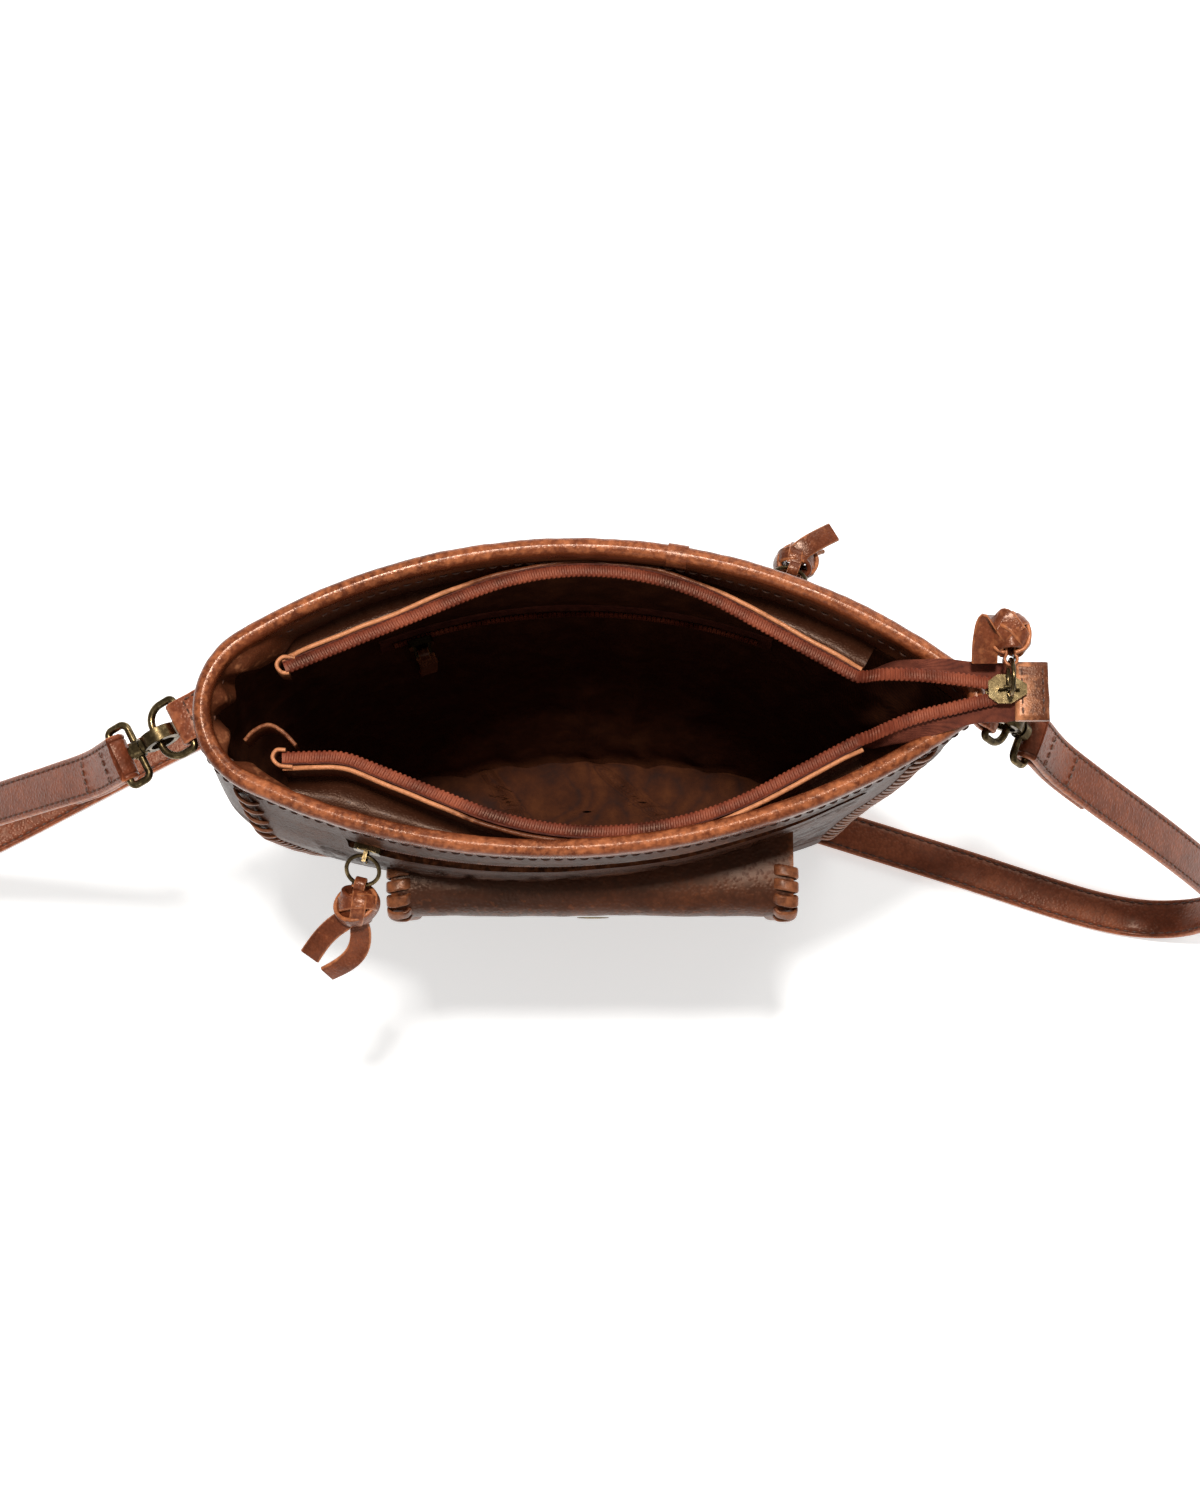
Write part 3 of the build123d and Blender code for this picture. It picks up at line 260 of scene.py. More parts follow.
def stitches(shape, path, out, pitch, length, thick, lift=0.0):
    """Rounded stitches laid end to end along a line on a surface."""
    path = np.asarray(path, float)
    along = distances(path)
    for s in np.arange(pitch / 2, along[-1], pitch):
        where = np.linspace(s - length / 2, s + length / 2, 6)
        line, n = look_up(where, along, path), unit(look_up(where, along, out))
        arch = np.sqrt(np.clip(1 - np.linspace(-1, 1, 6) ** 2, 0, 1))
        line = line + n * (lift + thick * 0.5 * arch)[:, None]
        t = tangents(line)
        side = unit(np.cross(t, n))
        shape.sweep(line, side, n, circle(thick / 2, 6)[None] * (0.35 + 0.65 * arch)[:, None, None])


# ------------------------------------------------------------------ plan of the shell, as in the CAD
# height; the left end's reach, radius and y; the same of the right end; the middle's depth back and front
SECTIONS = np.array([
    [0.0, 107.0, 17.0, -2.0, 103.0, 15.0, 0.0, 31.0, 31.0],
    [100.0, 124.0, 26.0, -7.0, 114.0, 14.0, 0.0, 45.0, 45.0],
    [180.0, 131.0, 33.0, -9.0, 124.0, 14.0, -1.0, 53.5, 55.0],
    [212.0, 129.5, 28.5, -4.0, 127.5, 8.5, -0.5, 52.0, 52.2],
    [225.0, 129.5, 28.5, -4.0, 127.5, 8.5, -0.5, 52.0, 52.2],
])
SHELL_TOP = 225.0
LEVEL_BLUR = 9.0  # over this height one section runs into the next
FOOT_RADIUS = 5.0


def section_at(z):
    """The plan's sizes at a height, smoothed over the levels that shape it."""
    total = 0.0
    for offset, w in ((-1, 0.25), (0, 0.5), (1, 0.25)):
        h = min(max(z + offset * LEVEL_BLUR, 0), SHELL_TOP)
        total = total + w * np.array([np.interp(h, SECTIONS[:, 0], SECTIONS[:, k]) for k in range(1, 9)])
    return total


def long_arc(s, side):
    """Centre and radius of the back (1) or front (-1) arc, which meets both end arcs smoothly."""
    ll, lr, ly, rl, rr, ry, back, front = s
    depth = back if side > 0 else front
    lx, rx = lr - ll, rl - rr
    left_gap, right_gap = depth - side * ly - lr, depth - side * ry - rr
    left_power, right_power = (depth - side * ly) ** 2 - lr ** 2, (depth - side * ry) ** 2 - rr ** 2
    a, b = right_gap - left_gap, -2 * (right_gap * lx - left_gap * rx)
    c = right_gap * (lx ** 2 + left_power) - left_gap * (rx ** 2 + right_power)
    x = 2 * c / (-b - sqrt(b * b - 4 * a * c))
    radius = ((x - lx) ** 2 + left_power) / (2 * left_gap)
    return x, side * (depth - radius), radius


_rings = {}


def ring(z, inset):
    """The plan at a height as a closed line: left end, back, right end, front. Points and way out."""
    key = (round(z, 3), round(inset, 3))
    if key in _rings:
        return _rings[key]
    s = section_at(z)
    ll, lr, ly, rl, rr, ry = s[:6]
    left, right, back, front = (lr - ll, ly, lr), (rl - rr, ry, rr), long_arc(s, 1), long_arc(s, -1)
    turns = [atan2(end[1] - arc[1], end[0] - arc[0])
             for end, arc in ((left, back), (right, back), (right, front), (left, front))]
    points, normals = [], []
    for (cx, cy, radius), first, last, count in zip((left, back, right, front, left), [pi] + turns,
                                                    turns + [-pi], (24, 160, 28, 160, 24)):
        a = np.linspace(first, last, count, endpoint=False)
        n = np.stack([np.cos(a), np.sin(a)], axis=1)
        points.append(np.array([cx, cy]) + n * (radius - inset))
        normals.append(n)
    loop = np.vstack(points + [points[0][:1]])
    _rings[key] = (loop, np.vstack(normals + [normals[0][:1]]), distances(loop))
    return _rings[key]


def locate(z, inset, x, side):
    """How far round the plan the point at x on the back (1) or front (-1) lies."""
    loop, _, along = ring(z, inset)
    half = int(np.argmax(loop[:, 0]))
    if side > 0:
        return float(np.interp(x, loop[:half + 1, 0], along[:half + 1]))
    return float(np.interp(-x, -loop[half:, 0], along[half:]))


def ring_points(z, inset, where):
    """Points and ways out at given distances round the plan; distances wrap round."""
    loop, normals, along = ring(z, inset)
    where = np.mod(where, along[-1])
    return look_up(where, along, loop), unit(look_up(where, along, normals))


def soft(x, y, z):
    """How far the soft wall stands out of its plan, in millimetres: slow dents and swells."""
    fade = 1 - smoothstep(z, 195, 222)
    return fade * (0.9 * bumpy(x, y, z, 55, 3.1) + 0.45 * bumpy(x, y, z, 21, 9.7))


def foot(z):
    """Extra inset that rounds the wall in to the base."""
    r = FOOT_RADIUS
    return r - sqrt(max(r * r - max(r - z, 0) ** 2, 0)) if z < r else 0.0


# the side seams: which way from the middle, and x at the rim and at the base
SEAM = {"left": (-1, 117.0, 97.0), "right": (1, 113.0, 94.0)}


def seam_x(end, z):
    """Where a side seam crosses a height."""
    sign, top, base = SEAM[end]
    return sign * (base + (top - base) * z / SHELL_TOP)


def wall_grid(heights, inset, first, last, count, relief=None):
    """A grid on the wall between two places round the plan, one row for each height."""
    grid = np.zeros((len(heights), count, 3))
    out = np.zeros((len(heights), count, 3))
    for i, z in enumerate(heights):
        p, n = ring_points(z, inset + foot(z), np.linspace(first(z), last(z), count))
        grid[i, :, :2], grid[i, :, 2] = p, z
        out[i, :, :2] = n
        for j in range(count):
            push = soft(p[j, 0], p[j, 1], z)
            if relief is not None:
                push += relief[i, j]
            grid[i, j, :2] += n[j] * push
    return grid, out


# ------------------------------------------------------------------ materials
def rgb(r, g, b):
    """A screen colour, 0 to 255, as the linear colour a shader takes."""
    return tuple(((c / 255 + 0.055) / 1.055) ** 2.4 if c > 10 else c / 255 / 12.92
                 for c in (r, g, b)) + (1.0,)


class Graph:
    """Short calls for building one material's nodes."""

    def __init__(self, name):
        self.material = bpy.data.materials.new(name)
        self.material.use_nodes = True
        self.tree = self.material.node_tree
        self.shader = self.tree.nodes["Principled BSDF"]
        self.place = self.node("ShaderNodeTexCoord").outputs["Object"]
        self.normal = None

    def node(self, kind, **settings):
        made = self.tree.nodes.new(kind)
        for key, value in settings.items():
            setattr(made, key, value)
        return made

    def link(self, a, b):
        self.tree.links.new(a, b)

    def feed(self, socket, value):
        if hasattr(value, "is_output"):
            self.link(value, socket)
        else:
            socket.default_value = value

    def math(self, op, a, b=0.0):
        made = self.node("ShaderNodeMath", operation=op)
        self.feed(made.inputs[0], a)
        self.feed(made.inputs[1], b)
        return made.outputs[0]

    def weigh(self, a, share, b):
        """Two values added up, each times its share."""
        return self.math("ADD", self.math("MULTIPLY", a, share[0]), self.math("MULTIPLY", b, share[1]))

    def noise(self, millimetres, detail=3.0, rough=0.55, place=None, distortion=0.0):
        made = self.node("ShaderNodeTexNoise")
        self.link(place or self.place, made.inputs["Vector"])
        made.inputs["Scale"].default_value = 1000.0 / millimetres
        made.inputs["Detail"].default_value = detail
        made.inputs["Roughness"].default_value = rough
        made.inputs["Distortion"].default_value = distortion
        return made.outputs["Fac"]

    def cells(self, millimetres):
        made = self.node("ShaderNodeTexVoronoi")
        self.link(self.place, made.inputs["Vector"])
        made.inputs["Scale"].default_value = 1000.0 / millimetres
        return made.outputs["Distance"]

    def attribute(self, name):
        return self.node("ShaderNodeAttribute", attribute_name=name).outputs["Fac"]

    def ramp(self, value, stops):
        made = self.node("ShaderNodeValToRGB")
        self.link(value, made.inputs["Fac"])
        ramp = made.color_ramp
        while len(ramp.elements) < len(stops):
            ramp.elements.new(0.5)
        for element, (at, colour) in zip(ramp.elements, stops):
            element.position = at
            element.color = colour if len(colour) == 4 else tuple(colour) + (1.0,)
        return made.outputs["Color"]

    def levels(self, value, low, high, to_low=0.0, to_high=1.0):
        made = self.node("ShaderNodeMapRange")
        self.link(value, made.inputs["Value"])
        limits = {"From Min": low, "From Max": high, "To Min": to_low, "To Max": to_high}
        for key, number in limits.items():
            made.inputs[key].default_value = number
        return made.outputs["Result"]

    def blend(self, factor, a, b):
        made = self.node("ShaderNodeMix", data_type="RGBA")
        self.feed(made.inputs["Factor"], factor)
        self.feed(made.inputs[6], a)
        self.feed(made.inputs[7], b)
        return made.outputs[2]

    def bump(self, height, strength, millimetres):
        made = self.node("ShaderNodeBump")
        made.inputs["Strength"].default_value = strength
        made.inputs["Distance"].default_value = millimetres * MM
        self.link(height, made.inputs["Height"])
        if self.normal is not None:
            self.link(self.normal, made.inputs["Normal"])
        self.normal = made.outputs["Normal"]

    def finish(self, colour, roughness, **sockets):
        self.feed(self.shader.inputs["Base Color"], colour)
        self.feed(self.shader.inputs["Roughness"], roughness)
        if self.normal is not None:
            self.link(self.normal, self.shader.inputs["Normal"])
        for key, value in sockets.items():
            self.shader.inputs[key.replace("_", " ")].default_value = value
        return self.material


WARM_SHINE = (1.0, 0.66, 0.48, 1.0)


def leather(name, dark, mid, light, worn_and_highlight, pebble=1.1, pebble_depth=0.16, crease=7.0, crease_depth=0.3,
            rough=(0.36, 0.56), stipple=0.0, coat=0.03, mottle=(38.0, 4.5), shine_level=0.42):
    """Dyed leather: mottled colour, pebbled grain, hair creases, dark tooled grooves and rubbed edges; the
    same colours also give painted shade and painted highlights on some pieces.
    """
    g = Graph(name)
    broad = g.noise(mottle[0], 4.0, 0.6)
    fine = g.noise(mottle[1], 3.0, 0.6)
    tone = g.weigh(broad, (0.72, 0.28), fine)
    colour = g.ramp(tone, [(0.33, dark), (0.5, mid), (0.68, light)])
    grain = g.cells(pebble)
    pits = g.levels(grain, 0.0, 0.55)
    colour = g.blend(g.levels(grain, 0.45, 0.75, 0.0, 0.35), colour, dark)
    wear = g.attribute("wear")
    ragged = g.math("ADD", wear, g.levels(g.noise(2.4, 3.0), 0.3, 0.7, -0.28, 0.28))
    # positive values blend to the light colour: rubbed edges, and on some pieces a painted highlight
    colour = g.blend(g.levels(ragged, 0.25, 0.95, 0.0, 0.85), colour, worn_and_highlight)
    # negative values blend to a darkened colour: the tooled grooves' own dye, and painted shade on the
    # placket ledges, under the binding and in the facing's folds
    groove = tuple(c * 0.34 for c in dark[:3]) + (1.0,)
    colour = g.blend(g.levels(wear, -0.08, -0.9, 0.0, 0.82), colour, groove)
    if stipple:
        dots = g.cells(2.1)
        field = g.levels(wear, -0.1, -0.3, 0.0, 1.0)
        g.bump(g.math("MULTIPLY", g.levels(dots, 0.05, 0.5), field), stipple, 0.5)
    g.bump(g.math("SUBTRACT", 1.0, pits), 0.55, pebble_depth)
    g.bump(g.noise(crease, 4.0, 0.62, distortion=0.6), 0.4, crease_depth)
    g.bump(g.noise(0.5, 2.0), 0.3, 0.06)
    shine = g.math("ADD", g.levels(broad, 0.3, 0.7, *rough), g.levels(pits, 0.0, 1.0, 0.06, -0.05))
    return g.finish(colour, shine, Coat_Weight=coat, Coat_Roughness=0.25, Coat_Tint=(1.0, 0.82, 0.68, 1.0),
                    Specular_IOR_Level=shine_level, Specular_Tint=WARM_SHINE)


def cloth(name, dark, mid, light, thread=0.42, slub=9.0):
    """Plain woven cloth from crossed threads, with slubs."""
    g = Graph(name)
    apart = g.node("ShaderNodeSeparateXYZ")
    g.link(g.place, apart.inputs[0])
    turn = 1000.0 / thread * pi
    round_x = g.math("SINE", g.math("MULTIPLY", g.math("ADD", apart.outputs[0], apart.outputs[1]), turn))
    round_z = g.math("SINE", g.math("MULTIPLY", apart.outputs[2], turn))
    weave = g.math("ABSOLUTE", g.math("MULTIPLY", round_x, round_z))
    tone = g.weigh(g.noise(slub, 4.0, 0.65), (0.75, 0.25), weave)
    colour = g.ramp(tone, [(0.3, dark), (0.5, mid), (0.72, light)])
    g.bump(weave, 0.5, 0.1)
    g.bump(g.noise(3.0, 4.0, 0.6), 0.35, 0.35)
    return g.finish(colour, g.levels(tone, 0.3, 0.7, 0.7, 0.9), Specular_IOR_Level=0.12)


def brass(name, dark, mid, light):
    """Cast antique brass: dark patina in the hollows, rubbed bright spots and fine scratches."""
    g = Graph(name)
    patina = g.noise(5.5, 5.0, 0.65)
    speckle = g.noise(0.9, 3.0, 0.6)
    tone = g.weigh(patina, (0.65, 0.35), speckle)
    colour = g.ramp(tone, [(0.34, dark), (0.5, mid), (0.66, light)])
    stretched = g.node("ShaderNodeMapping")
    g.link(g.place, stretched.inputs["Vector"])
    stretched.inputs["Scale"].default_value = (1.0, 7.0, 2.0)
    scratches = g.noise(0.8, 2.0, 0.5, place=stretched.outputs[0])
    g.bump(scratches, 0.25, 0.05)
    g.bump(patina, 0.3, 0.25)
    return g.finish(colour, g.levels(tone, 0.35, 0.65, 0.42, 0.2), Metallic=1.0)


def thread(name, dark, light):
    """Waxed sewing thread with its twist."""
    g = Graph(name)
    fleck = g.noise(0.7, 2.0)
    g.bump(fleck, 0.4, 0.1)
    return g.finish(g.ramp(fleck, [(0.35, dark), (0.65, light)]), g.levels(fleck, 0.3, 0.7, 0.45, 0.65))


def nylon(name, dark, mid, light):
    """Moulded zip teeth: smooth, a little rubbed on top."""
    g = Graph(name)
    tone = g.noise(16.0, 3.0, 0.6)
    g.bump(g.noise(0.6, 2.0), 0.25, 0.04)
    colour = g.ramp(tone, [(0.35, dark), (0.5, mid), (0.7, light)])
    return g.finish(colour, g.levels(tone, 0.3, 0.7, 0.42, 0.56), Specular_IOR_Level=0.35,
                    Specular_Tint=WARM_SHINE)


# each leather's colours are dark, mid, light and a lighter one for rubbed edges; that lighter one also
# paints highlights on the binding, placket folds, slip trim and flap fold, and a darkened copy of the dark
# one paints shade
MAT = {name: build(name, *[rgb(*colour) for colour in colours], **looks) for name, build, colours, looks in (
    ("tooled_leather", leather, ((36, 17, 9), (63, 33, 19), (92, 52, 31), (154, 94, 58)),
     dict(stipple=0.75, rough=(0.38, 0.54), coat=0.0, shine_level=0.2)),
    ("gusset_leather", leather, ((42, 20, 11), (70, 37, 21), (98, 56, 34), (156, 96, 60)),
     dict(stipple=0.6, rough=(0.38, 0.54), coat=0.0, shine_level=0.22)),
    ("rim_leather", leather, ((78, 35, 18), (112, 55, 30), (140, 74, 42), (204, 122, 76)),
     dict(pebble=0.85, pebble_depth=0.12, rough=(0.27, 0.4), coat=0.08, crease=5.0, mottle=(46.0, 9.0))),
    ("facing_leather", leather, ((70, 34, 19), (102, 54, 32), (132, 76, 48), (210, 138, 94)),
     dict(pebble=0.8, crease=6.0, crease_depth=0.45)),
    ("flap_leather", leather, ((38, 15, 6), (62, 28, 13), (86, 42, 20), (140, 78, 44)),
     dict(pebble=1.35, pebble_depth=0.2, crease=9.0, rough=(0.42, 0.56))),
    ("strap_leather", leather, ((78, 36, 21), (116, 57, 35), (148, 80, 51), (188, 112, 74)),
     dict(pebble=1.3, pebble_depth=0.26, crease=6.0, crease_depth=0.45, rough=(0.34, 0.46), coat=0.05)),
    ("lace_leather", leather, ((52, 25, 14), (84, 43, 25), (114, 63, 38), (158, 96, 60)),
     dict(pebble=0.7, pebble_depth=0.1, crease=4.0, coat=0.05)),
    ("pull_leather", leather, ((74, 34, 19), (114, 57, 33), (148, 80, 48), (196, 122, 78)),
     dict(pebble=0.8, crease=4.0, coat=0.06, rough=(0.3, 0.44))),
    ("lining_cloth", cloth, ((50, 23, 11), (74, 37, 19), (98, 54, 29)), {}),
    ("zip_tape", cloth, ((66, 30, 22), (98, 49, 35), (124, 66, 48)), dict(thread=0.5, slub=5.0)),
    ("zip_coil", nylon, ((74, 29, 18), (112, 50, 33), (146, 74, 50)), {}),
    ("antique_brass", brass, ((44, 36, 24), (90, 75, 50), (152, 132, 94)), {}))}
SEWING = thread("sewing_thread", rgb(58, 30, 18), rgb(98, 58, 36))


def made(name, shape, slot, body="purse", nodes=(), **options):
    """A piece in the material of one of the record's slots."""
    item = piece(name, shape, MAT[slot], body, nodes, **options)
    return item


def sewn(name, rows, pitch, length, thick, lift, material=SEWING):
    """A piece of stitches along rows, each a line with the ways out of its surface."""
    shape = Shape()
    for line, out in rows:
        stitches(shape, line, out, pitch, length, thick, lift)
    piece(name, shape, material, "purse")


# ------------------------------------------------------------------ tooled pattern of the outside leather
def scroll(cx, cz, radius, turns, start, hand):
    """A spiral stem that winds in to its eye."""
    t = np.linspace(0, 1, 90)
    a = start + hand * turns * 2 * pi * t
    r = radius * (1 - t) ** 0.75 + 1.2
    return np.stack([cx + r * np.cos(a), cz + r * np.sin(a)], axis=1)


def leaf(x0, z0, x1, z1, bend):
    """A bowed stroke between two points."""
    t = np.linspace(0, 1, 40)[:, None]
    a, b = np.array([x0, z0]), np.array([x1, z1])
    across = np.array([-(b - a)[1], (b - a)[0]])
    return a + (b - a) * t + across * bend * 4 * t * (1 - t)


def tooling_curves(half, low, high, seed):
    """Stems, scrolls and leaves spread over a panel from -half to half and low to high."""
    random = np.random.default_rng(seed)
    curves, pitch = [], 36.0
    columns = int(2 * half // pitch)
    rows = int((high - low) // pitch)
    for r in range(rows):
        for c in range(columns + r % 2):
            cx = (c - (columns + r % 2 - 1) / 2) * pitch
            cz = low + (r + 0.5) * (high - low) / rows
            hand = 1 if (r + c) % 2 else -1
            start = random.uniform(0, 2 * pi)
            radius = pitch * random.uniform(0.36, 0.44)
            curves.append(scroll(cx, cz, radius, 1.35, start, hand))
            for k in range(5):
                a = start - hand * (0.5 + 0.62 * k)
                r0, r1 = radius * 1.02, radius * (1.5 - 0.06 * k)
                curves.append(leaf(cx + r0 * cos(a), cz + r0 * sin(a), cx + r1 * cos(a - 0.35 * hand),
                                   cz + r1 * sin(a - 0.35 * hand), 0.22 * hand))
    edge = np.linspace(-half, half, 160)
    for level in (low, high):
        curves.append(np.stack([edge, np.full_like(edge, level)], axis=1))
    return [curve[(np.abs(curve[:, 0]) <= half) & (curve[:, 1] >= low) & (curve[:, 1] <= high)]
            for curve in curves]


def tooling(across, heights, half, low, high, seed):
    """Relief in millimetres and groove shade of the tooled pattern over a grid of places."""
    near = np.full(across.shape, 1e9)
    for curve in tooling_curves(half, low, high, seed):
        if len(curve) < 2:
            continue
        box = ((across > curve[:, 0].min() - 6) & (across < curve[:, 0].max() + 6)
               & (heights > curve[:, 1].min() - 6) & (heights < curve[:, 1].max() + 6))
        if not box.any():
            continue
        spots = np.stack([across[box], heights[box]], axis=1)
        d = np.min(np.linalg.norm(spots[:, None] - curve[None], axis=2), axis=1)
        near[box] = np.minimum(near[box], d)
    inside = ((np.abs(across) < half + 3) & (heights > low - 3) & (heights < high + 3)).astype(float)
    groove = np.exp(-(near / 1.5) ** 2) * inside
    plump = np.exp(-((near - 3.4) / 1.9) ** 2) * inside
    field = inside * smoothstep(near, 5.0, 7.0)
    return -0.75 * groove + 0.45 * plump - 0.25 * field, -np.clip(0.95 * groove + 0.34 * field, 0, 1)


# ------------------------------------------------------------------ shell
ZIP_LEVEL = 199.0
SLOT = (195.5, 202.5)  # the slot cut for each outside zip
SLOT_SLACK = 1.5  # how much longer than its zip the slot is at each end
LEATHER = 2.2  # how thick the panels are
TOP = 224.6  # where the panels end, inside the binding
levels = np.unique(np.round(np.concatenate([
    np.linspace(0, 5, 8), np.arange(6.5, 194.5, 1.7),
    [SLOT[0] - 1.2, SLOT[0] - 0.4, SLOT[0], ZIP_LEVEL, SLOT[1], SLOT[1] + 0.4, SLOT[1] + 1.2],
    np.arange(205.0, TOP, 1.7), [TOP]]), 3))


def panel(name, node, slot, first_seam, last_seam, count, seed, tool_area, zip_range=None):
    """One panel of the outside leather between two seams, tooled, with a slot where its zip is."""
    def first(z):
        return first_seam(z) + GAP

    def last(z):
        return last_seam(z) - GAP

    base_grid, _ = wall_grid(levels, 0.0, first, last, count)
    across = np.linspace(-0.5, 0.5, count)[None] * np.array([last(z) - first(z) for z in levels])[:, None]
    height = np.repeat(levels[:, None], count, axis=1)
    relief, shade = tooling(across, height, *tool_area, seed)
    rim_edge = smoothstep(np.abs(across) - np.abs(across).max(axis=1, keepdims=True), -3.0, 0.0)
    relief = relief - 0.8 * rim_edge ** 2
    mask = np.ones((len(levels), count), bool)
    if zip_range:
        x, (start, end) = base_grid[:, :, 0], zip_range
        rows = (levels[:-1] >= SLOT[0] - 1e-6) & (levels[1:] <= SLOT[1] + 1e-6)
        columns = (x > start - SLOT_SLACK) & (x < end + SLOT_SLACK)
        mask[:-1][rows] = ~columns[:-1][rows]
        lip = np.exp(-(np.minimum(np.abs(height - SLOT[0]), np.abs(height - SLOT[1])) / 1.3) ** 2)
        lip = lip * smoothstep(x, start - 4, start) * (1 - smoothstep(x, end, end + 4))
        relief = relief + 0.5 * lip
        shade = np.where(lip > 0.3, 0.35 * lip, shade)
    outer, _ = wall_grid(levels, 0.0, first, last, count, relief)
    inner, _ = wall_grid(levels, LEATHER, first, last, count)
    shade = np.where(rim_edge > 0.5, 0.3 * rim_edge, shade)
    shape = Shape()
    shape.slab(outer, inner, np.stack([across, height], axis=-1), shade, mask=mask)
    made(name, shape, slot, nodes=(node,))


def seam_where(end, side):
    return lambda z: locate(z, 0.0, seam_x(end, z), side)


GAP = 0.15  # from a panel's edge to its seam
back_l, back_r = seam_where("left", 1), seam_where("right", 1)
front_l, front_r = seam_where("left", -1), seam_where("right", -1)
ZIP = {-1: (-80.0, 92.0), 1: (-76.0, 76.0)}  # x of the outside zips' ends, front (-1) and back (1)
# the three numbers in brackets are the tooled area's half width and its lowest and highest level
panel("back_leather", "back_panel", "tooled_leather", back_l, back_r, 150, 11, (92, 26, 186), ZIP[1])
panel("front_leather", "front_panel", "tooled_leather", front_r, front_l, 150, 5, (92, 26, 186), ZIP[-1])
panel("right_leather", "right_gusset", "gusset_leather", back_r, front_r, 60, 21, (30, 30, 180))
panel("left_leather", "left_gusset", "gusset_leather", front_l,
      lambda z: back_l(z) + ring(z, 0.0)[2][-1], 74, 31, (34, 30, 180))

# base, with the strap's channel across it
STRAP_RUN = (96.0, -6.8, -0.318)  # a point of the channel's middle line, and its slope


def base_board():
    """The base: flat below, with a channel pressed up into it, and 1.6 mm thick."""
    shape = Shape()
    loop = ring(0.0, 4.8)[0][:-1]
    grid = np.array([at_height(loop * t, 0.0) for t in np.linspace(0.02, 1.0, 26)])
    x, y = grid[..., 0], grid[..., 1]
    off = np.abs(y - STRAP_RUN[1] - STRAP_RUN[2] * (x - STRAP_RUN[0])) / hypot(1, STRAP_RUN[2])
    grid[..., 2] = 0.3 + 4.0 * (1 - smoothstep(off, 9.0, 11.0))
    upper = grid.copy()
    upper[..., 2] = grid[..., 2] + 1.6
    uv = grid[..., :2].copy()
    rows, n = grid.shape[:2]
    shape.grid(grid, uv, np.full(grid.shape[:2], 0.25), closed_v=True, flip=True)
    shape.grid(upper, uv, None, closed_v=True)
    shape.faces.append(tuple(range(n)))
    shape.faces.append(tuple(reversed(range(n * rows, n * rows + n))))
    return shape


made("base_leather", base_board(), "tooled_leather", nodes=("base_panel",))


# ------------------------------------------------------------------ rim, facing and lining
def closed_ring(z, inset, count):
    """Points, ways out and distances evenly round the whole plan."""
    where = np.linspace(0, ring(z, inset)[2][-1], count, endpoint=False)
    return ring_points(z, inset, where) + (where,)


def rim():
    """The binding: a roll round the whole rim that swells and sinks a little."""
    shape = Shape()
    flat, out, _ = closed_ring(SHELL_TOP, 1.5, 420)
    path, out = at_height(flat, 223.75), at_height(out, 0.0)
    base = round_box(6.0, 8.4, 2.95, 5)
    profiles, wear = [], []
    for p in path:
        swell = 1 + 0.06 * bumpy(*p, 9, 1.7) + 0.05 * bumpy(*p, 3.4, 5.1)
        profile = base * (swell, 1.0)
        profile[:, 1] += 0.3 * bumpy(*p, 14, 8.3)
        profiles.append(profile)
        # painted highlight: the top of the roll is lighter in the rubbed colour; painted shade: its
        # underside is darker where it meets the wall; the slow noise is its own tone
        wear.append(0.46 * smoothstep(base[:, 1], 1.6, 4.0) + 0.15 * bumpy(*p, 17, 2.2)
                    - 0.3 * (1 - smoothstep(base[:, 1], -4.0, -2.6)))
    shape.sweep(path, out, rows_of(UP, len(path)), np.array(profiles), closed=True, wear=np.array(wear))
    return shape, path, out


rim_shape, rim_path, rim_out = rim()
made("rim_roll", rim_shape, "rim_leather", nodes=("rim_binding",))

# where the binding's two ends lap at the back
lap = Shape()
lap_rows = [i for i in range(len(rim_path)) if rim_path[i, 1] > 0 and 24 < rim_path[i, 0] < 32]
lap.sweep(rim_path[lap_rows], rim_out[lap_rows], rows_of(UP, len(lap_rows)),
          round_box(7.0, 9.2, 3.1, 5) + (0, 0.1), wear=0.35)
made("rim_lap", lap, "rim_leather")

seam_rows = []
for inset, level, sign in ((-1.2, 220.4, 1), (4.1, 216.8, -1)):
    flat, out, _ = closed_ring(SHELL_TOP, inset, 500)
    seam_rows.append((at_height(flat, level), at_height(out * sign, 0.0)))
sewn("rim_stitching", seam_rows, 4.2, 3.0, 0.75, 0.1)


def facing():
    """The leather inside the rim, gathered in folds at the left end; its folds carry painted highlights and
    painted shade, and it is painted darker just under the binding.
    """
    shape = Shape()
    outer, inner, wear = [], [], []
    for z in np.linspace(205.5, TOP, 14):
        flat, out, _ = closed_ring(z, 2.9, 420)
        line_o, line_i, w = [], [], []
        for p, n in zip(flat, out):
            left = 1 - smoothstep(p[0], -116, -84)
            push = 0.35 * (bumpy(p[0], p[1], z * 0.4, 12, 4.4) - 0.6)
            fold = sin(p[1] * 0.42 + z * 0.12 + 1.5 * bumpy(p[0], p[1], z, 16, 2.0))
            push -= left * smoothstep(224 - z, 0, 7) * (2.2 + 2.0 * fold)
            push = min(push, 0.2)
            line_o.append((*(p + n * push), z))
            line_i.append((*(p + n * (push - 1.1)), z))
            # painted highlight on the fold crests and painted shade in the troughs at the left end;
            # elsewhere painted shade just under the binding
            w.append(0.3 * left * fold - 0.2 * (1 - left) * smoothstep(z, 219, 224))
        outer.append(line_o)
        inner.append(line_i)
        wear.append(w)
    outer, inner = [np.array(sheet).transpose(1, 0, 2) for sheet in (outer, inner)]
    shape.slab(outer, inner, None, np.array(wear).T, closed_u=True)
    return shape


made("inside_facing", facing(), "facing_leather", nodes=("rim_facing",))


INNER_ZIP_LEVEL = 157.0


